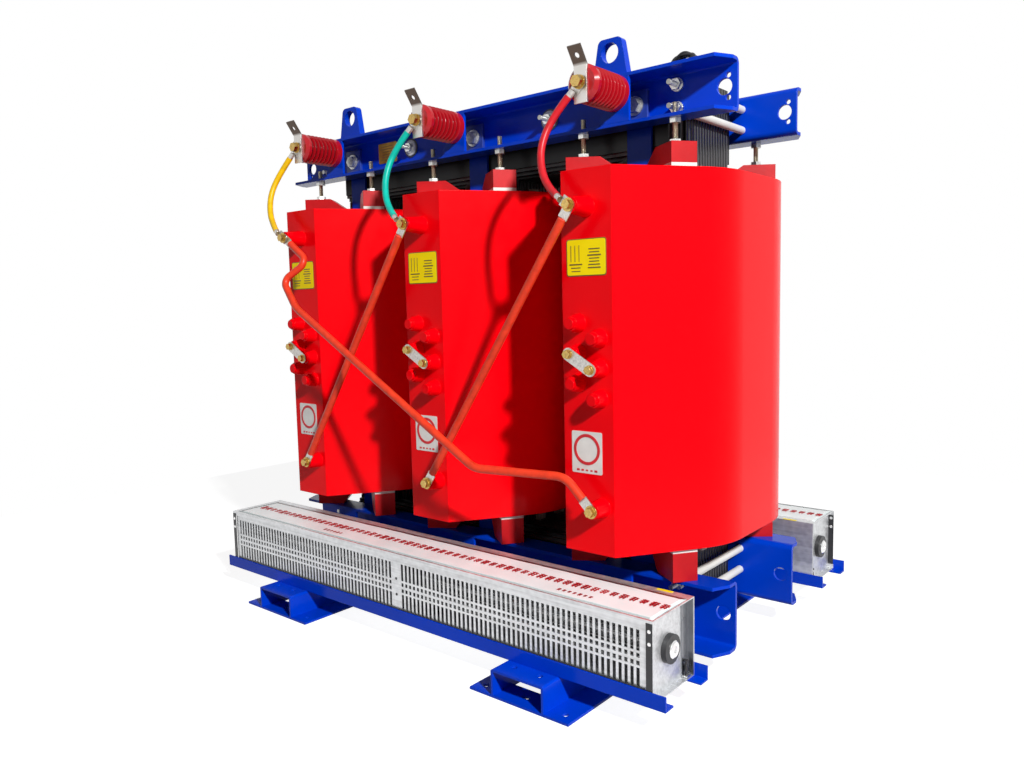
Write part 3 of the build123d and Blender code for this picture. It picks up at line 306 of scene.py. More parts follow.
# ------------------------------------------------------------------ the transformer's finishes
RED = (0.88, 0.0, 0.004)
DEEP_RED = (0.50, 0.008, 0.012)
POST_RED = (0.43, 0.005, 0.012)
BLUE = (0.0, 0.045, 0.56)
FINISH = {                  # by the record's slots
    "red_resin": coated("cast_red_resin", RED, 0.22, 0.05, 3.0, 0.25, 0.003, shine=0.08),
    "red_resin_post": grooved("post_red_resin", POST_RED, start=0.257, pitch=0.0137, ribs=7),
    "red_block": coated("moulded_block_red", DEEP_RED, 0.4, 0.15, 12.0, 0.3, 0.002, shine=0.2),
    "lv_resin": coated("winding_resin", (0.10, 0.03, 0.025), 0.4, 0.3, 20.0, 0.5),
    "blue_paint": coated("sprayed_blue", BLUE, 0.2, 0.12, 5.0, 0.3, 0.002, shine=0.09),
    "grey_steel": coated("insulated_pad", (0.02, 0.05, 0.30), 0.35, 0.2, 9.0, 0.3),
    "core_lacquer": laminated("lacquered_sheets", (0.035, 0.035, 0.038)),
    "zinc": plated("zinc_plate", (0.62, 0.62, 0.60), 0.3),
    "tinned": plated("tin_plate", (0.52, 0.50, 0.47), 0.3),
    "brass": plated("yellow_passivate", (0.50, 0.34, 0.11), 0.22),
    "galvanised": spangled("galvanised_sheet", (0.60, 0.61, 0.62)),
    "rotor_aluminium": plated("rotor_blades", (0.5, 0.5, 0.5), 0.4, 60.0),
    "busbar_tin": plated("bar_aluminium", (0.7, 0.7, 0.7), 0.35, 40.0, 0.12),
    "pad_rubber": coated("pad_board", (0.72, 0.70, 0.66), 0.6, 0.12, 30.0),
    "sleeve_plastic": coated("sleeve_plastic", (0.7, 0.7, 0.66), 0.5),
    "spacer_white": coated("spacer_board", (0.55, 0.50, 0.40), 0.6, 0.25, 30.0),
    "bearing_black": coated("bearing_rubber", (0.02, 0.02, 0.022), 0.45, 0.3, 30.0),
    "motor_black": coated("motor_enamel", (0.02, 0.02, 0.025), 0.4, 0.3, 20.0),
    "cable_black": sleeved("black_sheath", (0.015, 0.015, 0.017)),
    "lead_yellow": sleeved("yellow_sheath", (0.86, 0.52, 0.004)),
    "lead_green": sleeved("green_sheath", (0.0, 0.46, 0.36)),
    "lead_red": sleeved("red_sheath", (0.55, 0.012, 0.02)),
    "delta_red": sleeved("orange_red_sleeve", (0.76, 0.045, 0.014)),
}
OWN_FINISH = {              # nodes that differ from the rest of their slot
    "clamp_studs": threaded("stud_thread", (0.6, 0.6, 0.58), "Y"),
    "jack_screws": threaded("jack_thread", (0.45, 0.40, 0.28), "Z"),
    # The dark brown on the strips' bent tabs is painted shade.
    "terminal_strips": strip_with_shaded_tab("terminal_strip", (0.60, 0.58, 0.55), (0.10, 0.075, 0.06), STRIP_BEND_Z),
    "fan_corner_angles": plated("pressed_steel", (0.30, 0.31, 0.33), 0.3, 60.0, 0.12),
}
# The film itself is white; its faint cyan tint offsets the red light that the coils throw onto it.
SHEET_WHITE = coated("film_white", (0.90, 0.98, 0.98), 0.35, 0.015, 8.0, 0.2, shine=0.3)
PRINT_RED = coated("print_red", (0.60, 0.01, 0.02), 0.45, 0.2, 40.0)
PLATE_YELLOW = coated("plate_yellow", (0.98, 0.78, 0.004), 0.4, 0.04, 20.0, shine=0.12)
PLATE_GOLD = plated("plate_gold", (0.34, 0.20, 0.045), 0.35, 30.0, 0.25)
PRINT_DARK = coated("print_dark", (0.16, 0.10, 0.01), 0.45, 0.2, 60.0)
TRIM_BLACK = coated("trim_black", (0.015, 0.015, 0.018), 0.3, 0.3, 30.0)
TRIM_WHITE = coated("washer_white", (0.75, 0.75, 0.72), 0.45, 0.08, 30.0)
CHROME = plated("bright_cap", (0.8, 0.8, 0.8), 0.12, 30.0, 0.08)

for part in frame["record"]["subparts"]:
    solid = nodes[part["node"]]
    material = OWN_FINISH.get(part["node"], FINISH[part["material_slot"]])
    for place in solid.material_slots:
        place.material = material


# ------------------------------------------------------------------ making pieces
def keep(piece, body="frame"):
    """A finished piece, attached to its body."""
    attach(piece, body)
    return piece


def plain_mesh(name, form):
    """The bmesh as a mesh of its own."""
    mesh = bpy.data.meshes.new(name)
    form.to_mesh(mesh)
    form.free()
    return mesh


def mesh_piece(name, mesh, material):
    piece = bpy.data.objects.new(name, mesh)
    bpy.context.scene.collection.objects.link(piece)
    piece.data.materials.clear()
    piece.data.materials.append(material)
    return piece


def finished(form, name, material, rounded=0.0):
    """The bmesh as a piece, with its edges rounded if asked."""
    if rounded:
        bmesh.ops.bevel(form, geom=form.edges[:], offset=rounded, segments=2, affect="EDGES", profile=0.5)
    bmesh.ops.recalc_face_normals(form, faces=form.faces)
    return mesh_piece(name, plain_mesh(name, form), material)


def smooth(piece):
    """Smooth shading, apart from edges sharper than 35 degrees."""
    bpy.context.view_layer.objects.active = piece
    with bpy.context.temp_override(object=piece, active_object=piece, selected_objects=[piece],
                                   selected_editable_objects=[piece]):
        bpy.ops.object.shade_smooth_by_angle(angle=math.radians(35.0))
    return piece


def mirrored_span(side, near, far):
    """Two distances on the given side of the middle, the lower place first."""
    return sorted((side * near, side * far))


def thicken(form, faces, shift):
    """Gives flat faces a thickness along the shift."""
    swept = bmesh.ops.extrude_face_region(form, geom=faces)
    moved = [vertex for vertex in swept["geom"] if isinstance(vertex, bmesh.types.BMVert)]
    bmesh.ops.translate(form, verts=moved, vec=shift)


def add_slab(form, low, high):
    """A box added to a bmesh, between two corners."""
    middle = (Vector(low) + Vector(high)) / 2
    size = Vector(high) - Vector(low)
    place = Matrix.Translation(middle) @ Matrix.Diagonal((*size, 1.0))
    bmesh.ops.create_cube(form, size=1.0, matrix=place)


def add_plate(form, middle, width, height, corner, thickness=SKIN):
    """A thin plate with rounded corners, standing on a face that looks to -Y."""
    outline = []
    for side_x, side_z, start in ((1, 1, 0), (-1, 1, 90), (-1, -1, 180), (1, -1, 270)):
        for step in range(5):
            angle = math.radians(start + step * 22.5)
            x = side_x * (width / 2 - corner) + corner * math.cos(angle)
            z = side_z * (height / 2 - corner) + corner * math.sin(angle)
            outline.append(form.verts.new((middle[0] + x, middle[1], middle[2] + z)))
    thicken(form, [form.faces.new(outline)], (0, -thickness, 0))


def join_rings(form, first, second):
    """Four-sided faces between two rings with the same number of corners."""
    for side in range(len(first)):
        after = (side + 1) % len(first)
        form.faces.new((first[side], first[after], second[after], second[side]))


def add_turned(form, profile, centre, axis, sides=32):
    """A lathe shape: (radius, distance) pairs turned about an axis through the centre."""
    rings = []
    along = Vector(axis)
    across = Vector((0, 0, 1)) if abs(along.z) < 0.9 else Vector((1, 0, 0))
    other = along.cross(across)
    for radius, distance in profile:
        ring = []
        for side in range(sides):
            angle = 2 * math.pi * side / sides
            spoke = across * math.cos(angle) + other * math.sin(angle)
            ring.append(form.verts.new(Vector(centre) + along * distance + spoke * radius))
        rings.append(ring)
    for lower, upper in zip(rings, rings[1:]):
        join_rings(form, lower, upper)
    form.faces.new(rings[0])
    form.faces.new(rings[-1])


def add_flat_ring(form, centre, inner, outer, sides=40):
    """A thin ring standing on a face that looks to -Y."""
    circles = []
    for radius, lift in ((inner, 0), (inner, SKIN), (outer, SKIN), (outer, 0)):
        circle = []
        for side in range(sides):
            angle = 2 * math.pi * side / sides
            spoke = Vector((radius * math.cos(angle), -lift, radius * math.sin(angle)))
            circle.append(form.verts.new(centre + spoke))
        circles.append(circle)
    for first, second in zip(circles, circles[1:] + circles[:1]):
        join_rings(form, first, second)


# ------------------------------------------------------------------ geometry node trees
def empty_tree(name, inputs):
    """A tree with the named inputs and a geometry output, with its input and output nodes."""
    group = bpy.data.node_groups.new(name, "GeometryNodeTree")
    group.interface.new_socket("Geometry", in_out="OUTPUT", socket_type="NodeSocketGeometry")
    for label, kind in inputs:
        group.interface.new_socket(label, in_out="INPUT", socket_type=kind)
    return group, group.nodes.new("NodeGroupInput"), group.nodes.new("NodeGroupOutput")


def end_tree(group, given, result, copies):
    """The end of a tree: its copies are made real and take their material."""
    real = group.nodes.new("GeometryNodeRealizeInstances")
    paint = group.nodes.new("GeometryNodeSetMaterial")
    join = group.links.new
    join(copies.outputs["Instances"], real.inputs["Geometry"])
    join(real.outputs["Geometry"], paint.inputs["Geometry"])
    join(given.outputs["Material"], paint.inputs["Material"])
    join(paint.outputs["Geometry"], result.inputs["Geometry"])


def row_tree():
    """Copies of a small mark in a straight row, each a little different in size."""
    group, given, result = empty_tree("row_of_marks", (
        ("Mark", "NodeSocketObject"), ("Start", "NodeSocketVector"), ("Step", "NodeSocketVector"),
        ("Count", "NodeSocketInt"), ("Least Size", "NodeSocketFloat"), ("Most Size", "NodeSocketFloat"),
        ("Seed", "NodeSocketInt"), ("Material", "NodeSocketMaterial")))
    line = group.nodes.new("GeometryNodeMeshLine")
    mark = group.nodes.new("GeometryNodeObjectInfo")
    copies = group.nodes.new("GeometryNodeInstanceOnPoints")
    sizes = group.nodes.new("FunctionNodeRandomValue")
    join = group.links.new
    join(given.outputs["Count"], line.inputs["Count"])
    join(given.outputs["Start"], line.inputs["Start Location"])
    join(given.outputs["Step"], line.inputs["Offset"])
    join(given.outputs["Mark"], mark.inputs["Object"])
    join(line.outputs["Mesh"], copies.inputs["Points"])
    join(mark.outputs["Geometry"], copies.inputs["Instance"])
    join(given.outputs["Least Size"], sizes.inputs[2])
    join(given.outputs["Most Size"], sizes.inputs[3])
    join(given.outputs["Seed"], sizes.inputs["Seed"])
    join(sizes.outputs[1], copies.inputs["Scale"])
    end_tree(group, given, result, copies)
    return group


def oval_tree():
    """Upright sticks set round an oval, between the two windings of one limb."""
    group, given, result = empty_tree("duct_sticks", (
        ("Oval", "NodeSocketObject"), ("Count", "NodeSocketInt"), ("Stick Size", "NodeSocketVector"),
        ("Material", "NodeSocketMaterial")))
    oval = group.nodes.new("GeometryNodeObjectInfo")
    points = group.nodes.new("GeometryNodeCurveToPoints")
    stick = group.nodes.new("GeometryNodeMeshCube")
    copies = group.nodes.new("GeometryNodeInstanceOnPoints")
    join = group.links.new
    join(given.outputs["Oval"], oval.inputs["Object"])
    join(oval.outputs["Geometry"], points.inputs["Curve"])
    join(given.outputs["Count"], points.inputs["Count"])
    join(given.outputs["Stick Size"], stick.inputs["Size"])
    join(points.outputs["Points"], copies.inputs["Points"])
    join(points.outputs["Rotation"], copies.inputs["Rotation"])
    join(stick.outputs["Mesh"], copies.inputs["Instance"])
    end_tree(group, given, result, copies)
    return group


ROW = row_tree()


def tree_mesh(group, values):
    """The tree run once with the given inputs and turned into a plain mesh."""
    identifiers = {item.name: item.identifier for item in group.interface.items_tree}
    carrier = bpy.data.objects.new("tree_carrier", bpy.data.meshes.new("tree_carrier"))
    bpy.context.scene.collection.objects.link(carrier)
    modifier = carrier.modifiers.new("tree", "NODES")
    modifier.node_group = group
    for label, value in values.items():
        modifier[identifiers[label]] = value
    graph = bpy.context.evaluated_depsgraph_get()
    mesh = bpy.data.meshes.new_from_object(carrier.evaluated_get(graph))
    carrier.modifiers.remove(modifier)
    bpy.data.objects.remove(carrier)
    return mesh


def row_mesh(mark, start, step, count, material, least=1.0, most=1.0, seed=SEED):
    """One row of marks as a plain mesh."""
    return tree_mesh(ROW, {"Mark": mark, "Start": start, "Step": step, "Count": count, "Least Size": least,
                           "Most Size": most, "Seed": seed, "Material": material})


def rows_piece(name, meshes, material):
    """Several finished meshes joined into one piece."""
    form = bmesh.new()
    for mesh in meshes:
        form.from_mesh(mesh)
        bpy.data.meshes.remove(mesh)
    return mesh_piece(name, plain_mesh(name, form), material)


def mark_object(name, slabs):
    """A small pattern of flat slabs, kept out of the picture, for a row tree to copy."""
    form = bmesh.new()
    for low, high in slabs:
        add_slab(form, low, high)
    return bpy.data.objects.new(name, plain_mesh(name, form))


# ------------------------------------------------------------------ cords
def round_cord(name, points, radius, material):
    """A round cord along one smooth line."""
    curve = bpy.data.curves.new(name, "CURVE")
    curve.dimensions = "3D"
    curve.bevel_depth = radius
    curve.bevel_resolution = 6
    curve.resolution_u = 16
    curve.use_fill_caps = True
    line = curve.splines.new("NURBS")
    line.points.add(len(points) - 1)
    for point, place in zip(line.points, points):
        point.co = (*place, 1.0)
    line.order_u = 3
    line.use_endpoint_u = True
    piece = bpy.data.objects.new(name, curve)
    bpy.context.scene.collection.objects.link(piece)
    piece.data.materials.append(material)
    return piece


LEAD_RADIUS = 0.0085
LEAD_START = (-0.0464, -0.3861, 1.3264)     # in the lug under the post's strip, with x from the limb
LEAD_END = (-0.0307, -0.4573, 1.1044)       # in the lug on the coil's upper terminal
LEAD_ROUTES = {
    "hv_lead_1": ("lead_yellow", ((-0.080, -0.398, 1.287), (-0.098, -0.424, 1.226),
                                  (-0.086, -0.440, 1.166), (-0.056, -0.449, 1.122))),
    "hv_lead_2": ("lead_green", ((-0.082, -0.400, 1.284), (-0.095, -0.425, 1.220),
                                 (-0.082, -0.440, 1.160), (-0.054, -0.449, 1.120))),
    "hv_lead_3": ("lead_red", ((-0.081, -0.400, 1.285), (-0.097, -0.425, 1.222),
                               (-0.084, -0.440, 1.163), (-0.056, -0.448, 1.122))),
}
CABLE_RADIUS = 0.0042
CABLE_TURNS = 5
CABLE_TURN_POINTS = 12


def high_voltage_leads():
    """The sheathed lead from every post down to its coil."""
    for limb, (node, (finish, route)) in zip(LIMBS, LEAD_ROUTES.items()):
        points = [(limb + x, y, z) for x, y, z in (LEAD_START, *route, LEAD_END)]
        sheath = round_cord("sheath_" + node, points, LEAD_RADIUS, FINISH[finish])
        keep(sheath)
        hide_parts(node)


def cable_turns():
    """Loose turns of thin cable that stand on the top yoke."""
    low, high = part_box("sensor_cable")
    middle = (low + high) / 2
    points = []
    for step in range(CABLE_TURNS * CABLE_TURN_POINTS + 1):
        angle = 2 * math.pi * step / CABLE_TURN_POINTS
        radius = 0.034 + 0.004 * math.sin(1.7 * step)
        sideways = 0.010 * math.sin(0.83 * step + 0.4)
        points.append(middle + Vector((radius * math.cos(angle), sideways, radius * math.sin(angle))))
    turns_piece = round_cord("sensor_cable_turns", points, CABLE_RADIUS, FINISH["cable_black"])
    keep(turns_piece)
    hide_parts("sensor_cable")


high_voltage_leads()
cable_turns()


# ------------------------------------------------------------------ fan covers
FILM_COLUMNS = 150
FILM_ROWS = 14
FILM_LIFT = 0.0009          # middle of the film over the sheet
FILM_WRINKLE = 0.0004
FILM_SHEET = 0.0002
GRILLE_GAP_SHADOW_Z = (0.0985, 0.1015)   # black strip under the grilles: painted shadow in the gap there
STRIP_FROM_END = (0.016, 0.001)
STRIP_BOTTOM = 0.074
STRIP_SCREWS = (0.222, 0.196)
CLIP_Y = 0.374
CLIP_Z = (0.073, 0.077)
CAP_PROFILE = ((0.019, -0.001), (0.019, 0.003), (0.016, 0.0055), (0.007, 0.006), (0.006, 0.0035),
               (0.0005, 0.003))
STRIP_SCREW_PROFILE = ((0.0042, -0.0005), (0.0042, 0.001), (0.003, 0.0022), (0.0006, 0.0025))
GRILLE_SCREW_PROFILE = ((0.0035, 0.0), (0.0035, 0.0008), (0.0022, 0.0016), (0.0004, 0.0018))
KNOB_PROFILE = ((0.003, 0.0), (0.003, 0.010), (0.0048, 0.012), (0.0036, 0.024), (0.0022, 0.025),
                (0.0022, 0.031), (0.0052, 0.0315), (0.0052, 0.0345), (0.0005, 0.035))
FILM_STROKES = (            # low and high corner of each stroke of one mark
    ((-0.009, 0.009), (0.008, 0.0125)),
    ((-0.010, 0.001), (0.009, 0.0045)),
    ((-0.009, -0.0075), (0.007, -0.0035)),
    ((-0.005, -0.013), (-0.0015, 0.014)),
    ((0.0035, -0.012), (0.0065, 0.012)),
)
FILM_ROWS_OF_MARKS = (      # first x, y from the middle, step, count, least and most size
    (-0.70, 0.447, 0.0248, 59, 0.85, 1.1),
    (-0.33, 0.492, 0.014, 6, 0.4, 0.5),
    (0.50, 0.492, 0.014, 7, 0.4, 0.5),
)


def film(name, side):
    """White protective film on a fan's top, a little wrinkled and held flat along its long edges."""
    y_low, y_high = mirrored_span(side, FAN_INNER + 0.024, FAN_FRONT - 0.006)
    x_low, x_high = 0.022 - FAN_END, FAN_END - 0.004
    form = bmesh.new()
    grid = []
    for i in range(FILM_COLUMNS + 1):
        x = x_low + (x_high - x_low) * i / FILM_COLUMNS
        line = []
        for j in range(FILM_ROWS + 1):
            y = y_low + (y_high - y_low) * j / FILM_ROWS
            ripples = math.sin(31 * x + 3 * math.sin(9 * y)) + math.sin(67 * x + 40 * y)
            lift = FILM_WRINKLE * ripples + FILM_LIFT
            free = min(j, FILM_ROWS - j, 2) / 2
            line.append(form.verts.new((x, y, FAN_TOP + FILM_SHEET + lift * free)))
        grid.append(line)
    for line, following in zip(grid, grid[1:]):
        for j in range(FILM_ROWS):
            form.faces.new((line[j], following[j], following[j + 1], line[j + 1]))
    thicken(form, form.faces[:], (0, 0, -FILM_SHEET))
    piece = finished(form, name, SHEET_WHITE)
    piece.data.shade_smooth()
    return keep(piece)


def film_marks(name, side):
    """A long row of plain red marks printed along the film, with two short rows beside it."""
    mark = mark_object(name + "_mark", [((*low, 0), (*high, SKIN)) for low, high in FILM_STROKES])
    top = FAN_TOP + 0.0021
    meshes = []
    for x, y, step, count, least, most in FILM_ROWS_OF_MARKS:
        meshes.append(row_mesh(mark, (x, side * y, top), (step, 0, 0), count, PRINT_RED, least, most))
    return keep(rows_piece(name, meshes, PRINT_RED))


def add_face_strip(form, side, x_span, z_span):
    """A thin strip laid on the grille side of a fan."""
    y_low, y_high = mirrored_span(side, FAN_FRONT - 0.0002, FAN_FRONT + 0.0008)
    add_slab(form, (x_span[0], y_low, z_span[0]), (x_span[1], y_high, z_span[1]))


def end_cap(name, side_x, side):
    """Bright cap over the end of a fan's shaft."""
    form = bmesh.new()
    hub = (side_x * BEARING_END, side * SHAFT_Y, SHAFT_Z)
    add_turned(form, CAP_PROFILE, hub, (side_x, 0, 0))
    keep(smooth(finished(form, name + "_cap", CHROME)))


def corner_strip(name, side_x, side):
    """Black strip down a corner of a fan, with its two screws."""
    x_span = mirrored_span(side_x, *(FAN_END - distance for distance in STRIP_FROM_END))
    strip = bmesh.new()
    add_face_strip(strip, side, x_span, (STRIP_BOTTOM, FAN_TOP - 0.006))
    keep(finished(strip, name + "_strip", TRIM_BLACK))
    screws = bmesh.new()
    for z in STRIP_SCREWS:
        add_turned(screws, STRIP_SCREW_PROFILE, (sum(x_span) / 2, side * FAN_FRONT, z), (0, side, 0), 16)
    keep(smooth(finished(screws, name + "_screws", CHROME)))


def foot_clip(name, side_x, side):
    """Clip at the foot of a fan's end, with its black knob."""
    x_low, x_high = mirrored_span(side_x, FAN_END - 0.015, FAN_END - 0.001)
    clip_y = side * CLIP_Y
    clip = bmesh.new()
    add_slab(clip, (x_low, clip_y - 0.008, CLIP_Z[0]), (x_high, clip_y + 0.008, CLIP_Z[1]))
    keep(finished(clip, name + "_clip", FINISH["zinc"], 0.0008))
    knob = bmesh.new()
    add_turned(knob, KNOB_PROFILE, (side_x * (FAN_END - 0.008), clip_y, sum(CLIP_Z) / 2), (0, 0, 1), 20)
    keep(smooth(finished(knob, name + "_knob", TRIM_BLACK)))


def grille_gap_shadow(name, side):
    """Black strip between a grille and the rail under it: painted shadow of the gap there."""
    form = bmesh.new()
    add_face_strip(form, side, (0.02 - FAN_END, FAN_END - 0.02), GRILLE_GAP_SHADOW_Z)
    keep(finished(form, name, TRIM_BLACK))


def film_patches():
    """A short yellow strip on the inner edge of each fan's top."""
    form = bmesh.new()
    for side in FAN_SIDES.values():
        y_low, y_high = mirrored_span(side, FAN_INNER + 0.010, FAN_INNER + 0.001)
        add_slab(form, (0.668, y_low, FAN_TOP), (0.706, y_high, FAN_TOP + SKIN))
    keep(finished(form, "film_patches", PLATE_YELLOW))


def grille_screws():
    """Small screws on the plain strip in the middle of the front grille."""
    form = bmesh.new()
    add_turned(form, GRILLE_SCREW_PROFILE, (0, 0, 0), (0, -1, 0), 16)
    screw = bpy.data.objects.new("grille_screw", plain_mesh("grille_screw", form))
    row = row_mesh(screw, (0.0, GRILLE_Y, SHAFT_Z - 0.021), (0, 0, 0.042), 2, TRIM_BLACK)
    keep(rows_piece("grille_screws", [row], TRIM_BLACK))


for word, side in FAN_SIDES.items():
    film("fan_film_" + word, side)
    film_marks("fan_marks_" + word, side)
    grille_gap_shadow("grille_seal_" + word, side)
    for end, side_x in FAN_ENDS.items():
        end_cap(f"fan_{word}_{end}", side_x, side)
        corner_strip(f"fan_{word}_{end}", side_x, side)
        foot_clip(f"fan_{word}_{end}", side_x, side)
film_patches()
grille_screws()


# ------------------------------------------------------------------ plates and round signs left generic
COIL_PLATE_Z = 0.974
DISC_SQUARE_Z = 0.538
DISC_RING_Z = 0.545
CLAMP_PLATE_X = -0.362
CLAMP_PLATE_T = 0.001


def coil_plates():
    """A yellow plate on every coil, with plain bars where the data would be."""
    plates, borders = bmesh.new(), bmesh.new()
    bar = mark_object("plate_bar", [((-0.017, -SKIN, -0.0014), (0.017, 0, 0.0014))])
    column = mark_object("plate_column", [((-0.0006, -SKIN, -0.018), (0.0006, 0, 0.018))])
    face = PANEL_Y - 2 * SKIN
    meshes = []
    for limb in LIMBS:
        add_plate(borders, (limb, PANEL_Y, COIL_PLATE_Z), 0.106, 0.082, 0.006)
        add_plate(plates, (limb, PANEL_Y - SKIN, COIL_PLATE_Z), 0.102, 0.078, 0.005)
        meshes.append(row_mesh(bar, (limb + 0.022, face, 0.951), (0, 0, 0.0068), 7, PRINT_DARK, 0.75, 1.05))
        meshes.append(row_mesh(bar, (limb - 0.027, face, 0.944), (0, 0, 0.0075), 3, PRINT_DARK, 0.6, 1.0,
                               SEED + 1))
        meshes.append(row_mesh(column, (limb - 0.040, face, 0.983), (0.011, 0, 0), 3, PRINT_DARK))
    keep(finished(borders, "coil_plate_borders", PRINT_DARK))
    keep(finished(plates, "coil_plates", PLATE_YELLOW))
    keep(rows_piece("coil_plate_bars", meshes, PRINT_DARK))


def coil_discs():
    """A white square with a plain red ring and a row of dashes on every coil."""
    squares, rings = bmesh.new(), bmesh.new()
    dash = mark_object("disc_dash", [((-0.0035, -SKIN, -0.0022), (0.0035, 0, 0.0022))])
    face = PANEL_Y - SKIN
    meshes = []
    for limb in LIMBS:
        middle_x = limb - 0.005
        add_plate(squares, (middle_x, PANEL_Y, DISC_SQUARE_Z), 0.082, 0.096, 0.004)
        add_flat_ring(rings, Vector((middle_x, face, DISC_RING_Z)), 0.0285, 0.0355)
        meshes.append(row_mesh(dash, (middle_x - 0.024, face, 0.4975), (0.012, 0, 0), 5, PRINT_RED, 0.8, 1.1))
    keep(finished(squares, "coil_disc_squares", TRIM_WHITE))
    keep(finished(rings, "coil_disc_rings", PRINT_RED))
    keep(rows_piece("coil_disc_dashes", meshes, PRINT_RED))


def clamp_plate():
    """The bare rating plate on the upper clamp, with plain bars."""
    form = bmesh.new()
    add_plate(form, (CLAMP_PLATE_X, -CLAMP_WEB_Y, STUD_Z), 0.082, 0.060, 0.004, CLAMP_PLATE_T)
    keep(finished(form, "clamp_plate", PLATE_GOLD))
    bar = mark_object("clamp_plate_bar", [((-0.030, -SKIN, -0.0012), (0.030, 0, 0.0012))])
    face = -CLAMP_WEB_Y - CLAMP_PLATE_T
    row = row_mesh(bar, (CLAMP_PLATE_X, face, STUD_Z - 0.020), (0, 0, 0.0078), 6, PRINT_DARK, 0.8, 1.0)
    keep(rows_piece("clamp_plate_bars", [row], PRINT_DARK))


coil_plates()
coil_discs()
clamp_plate()


# ------------------------------------------------------------------ washers of the middle studs
BLACK_WASHER = ((0.0155, 0.0), (0.027, 0.0), (0.027, 0.0025), (0.0155, 0.0025))
WHITE_WASHER = ((0.0155, 0.0025), (0.023, 0.0025), (0.0225, 0.005), (0.0155, 0.005))


def stud_washers():
    """White insulating washers on a black one, behind the nuts of the middle studs."""
    white, black = bmesh.new(), bmesh.new()
    for x in (-STUD_X, STUD_X):
        for side in FAN_SIDES.values():
            for form, profile in ((black, BLACK_WASHER), (white, WHITE_WASHER)):
                add_turned(form, profile, (x, side * CLAMP_WEB_Y, STUD_Z), (0, side, 0))
    keep(smooth(finished(black, "stud_washers_black", TRIM_BLACK)))
    keep(smooth(finished(white, "stud_washers_white", TRIM_WHITE)))


stud_washers()


# ------------------------------------------------------------------ duct sticks between the windings
DUCT_RADIUS = 0.1615        # middle line of the air duct round one limb
DUCT_STRAIGHT = 0.088       # half of its straight run along Y
DUCT_STICKS = 30
STICK_SIZE = (0.016, 0.010, 0.11)
STICK_MIDDLE_Z = COIL_TOP - 0.035


def duct_oval(limb):
    """The middle line of one limb's air duct, kept out of the picture, for a tree to follow."""
    outline = []
    for middle, start in ((DUCT_STRAIGHT, 0), (-DUCT_STRAIGHT, 180)):
        for step in range(19):
            angle = math.radians(start + 10 * step)
            x = limb + DUCT_RADIUS * math.cos(angle)
            outline.append((x, middle + DUCT_RADIUS * math.sin(angle), STICK_MIDDLE_Z))
    curve = bpy.data.curves.new("duct_oval", "CURVE")
    curve.dimensions = "3D"
    line = curve.splines.new("POLY")
    line.points.add(len(outline) - 1)
    for point, place in zip(line.points, outline):
        point.co = (*place, 1.0)
    line.use_cyclic_u = True
    return bpy.data.objects.new("duct_oval", curve)


def duct_sticks():
    """White sticks that keep the air duct open, standing a little above each coil."""
    group = oval_tree()
    board = FINISH["spacer_white"]
    meshes = [tree_mesh(group, {"Oval": duct_oval(limb), "Count": DUCT_STICKS, "Stick Size": STICK_SIZE,
                                "Material": board}) for limb in LIMBS]
    keep(rows_piece("duct_sticks", meshes, board))


duct_sticks()


# ------------------------------------------------------------------ stage, lights and camera
FLOOR_HALF = 2.4
FLOOR_DROP = 0.0005         # floor below the feet
FLOOR_GLOW = 0.89
WORLD_LIGHT = 0.075
VIEW_ANGLES = (40.0, 5.5, -1.3)             # turn about Z, tilt and roll, in degrees
CAMERA_PLACE = (1.5528, -1.8922, 0.8768)
SENSOR_WIDTH = 36.0
FOCAL_LENGTH = 28.72265625


def studio_floor():
    """White for the camera and in reflections, darker where the transformer shades it."""
    material, tree, shader = new_material("studio_floor")
    shader.inputs["Base Color"].default_value = (0.4, 0.4, 0.4, 1)
    shader.inputs["Roughness"].default_value = 0.9
    shader.inputs["Specular IOR Level"].default_value = 0.0
    shader.inputs["Emission Color"].default_value = (1, 1, 1, 1)
    rays = tree.nodes.new("ShaderNodeLightPath")
    seen = math_node(tree, "MAXIMUM", rays.outputs["Is Camera Ray"], rays.outputs["Is Glossy Ray"])
    tree.links.new(math_node(tree, "MULTIPLY", seen, FLOOR_GLOW), shader.inputs["Emission Strength"])
    form = bmesh.new()
    bmesh.ops.create_grid(form, x_segments=1, y_segments=1, size=FLOOR_HALF)
    bmesh.ops.translate(form, verts=form.verts, vec=(0, 0, -FLOOR_DROP))
    floor = mesh_piece("studio_floor", plain_mesh("studio_floor", form), material)


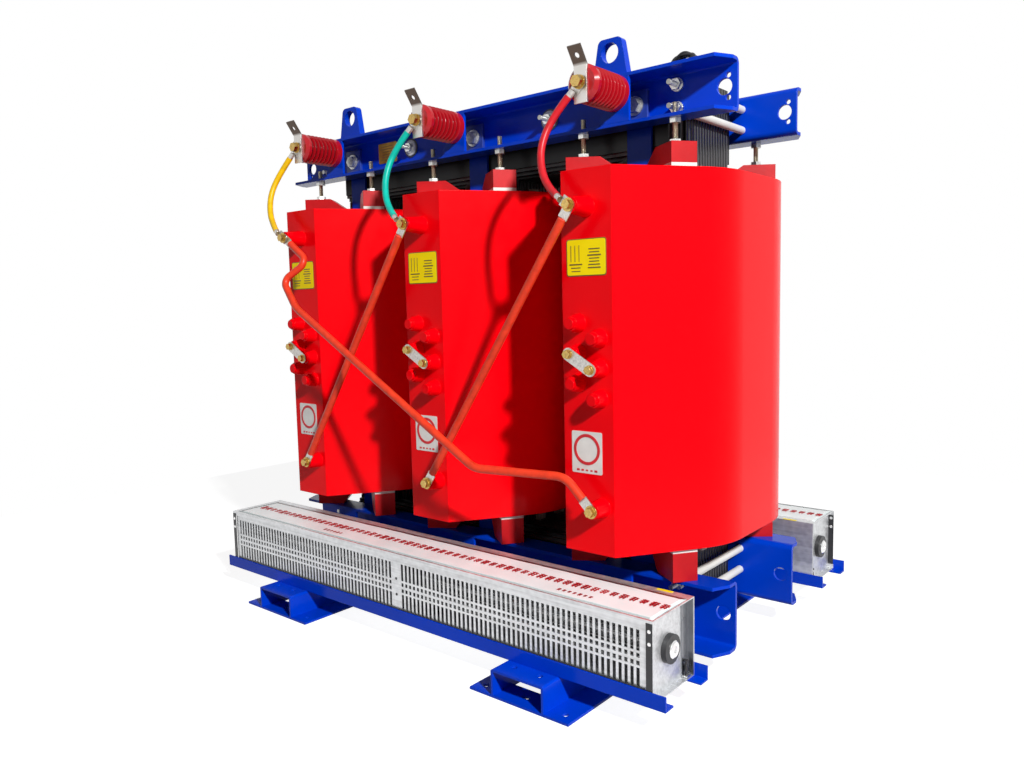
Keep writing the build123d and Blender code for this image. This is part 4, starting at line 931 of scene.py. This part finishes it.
def studio_world():
    """White behind the transformer and in its reflections, with little light from all round."""
    world = bpy.data.worlds.new("studio_world")
    world.use_nodes = True
    tree = world.node_tree
    background = tree.nodes["Background"]
    rays = tree.nodes.new("ShaderNodeLightPath")
    seen = math_node(tree, "MAXIMUM", rays.outputs["Is Camera Ray"], rays.outputs["Is Transmission Ray"])
    mirrored = math_node(tree, "MAXIMUM", seen, rays.outputs["Is Glossy Ray"])
    background.inputs["Color"].default_value = (1, 1, 1, 1)
    tree.links.new(value_range(tree, mirrored, WORLD_LIGHT, 1.0), background.inputs["Strength"])
    bpy.context.scene.world = world


def lamp(name, place, target, size, power):
    """A rectangular lamp that looks at its target."""
    light = bpy.data.lights.new(name, "AREA")
    light.shape = "RECTANGLE"
    light.size, light.size_y = size
    light.energy = power
    holder = bpy.data.objects.new(name, light)
    holder.location = place
    holder.rotation_euler = (Vector(target) - Vector(place)).to_track_quat("-Z", "Y").to_euler()
    bpy.context.scene.collection.objects.link(holder)


def studio_camera():
    """A view from the front right, turned, tilted and rolled by the view angles."""
    azimuth, tilt, roll = (math.radians(angle) for angle in VIEW_ANGLES)
    level = math.cos(tilt)
    back = Vector((math.sin(azimuth) * level, -math.cos(azimuth) * level, math.sin(tilt)))
    right = Vector((math.cos(azimuth), math.sin(azimuth), 0))
    up = back.cross(right)
    camera_x = right * math.cos(roll) + up * math.sin(roll)
    camera_y = up * math.cos(roll) - right * math.sin(roll)
    lens = bpy.data.cameras.new("studio_camera")
    lens.sensor_width = SENSOR_WIDTH
    lens.lens = FOCAL_LENGTH
    lens.clip_end = 100.0
    camera = bpy.data.objects.new("studio_camera", lens)
    bpy.context.scene.collection.objects.link(camera)
    turned = Matrix((camera_x, camera_y, back)).transposed().to_4x4()
    camera.matrix_world = Matrix.Translation(CAMERA_PLACE) @ turned
    bpy.context.scene.camera = camera


studio_floor()
studio_world()
lamp("key_lamp", (4.7, -2.55, 3.7), (0.1, -0.1, 0.7), (0.3, 0.3), 450)
lamp("fill_lamp", (-1.6, -5.2, 1.8), (0, 0, 0.7), (3.0, 2.0), 10)
studio_camera()
bpy.context.scene.view_settings.view_transform = "Standard"
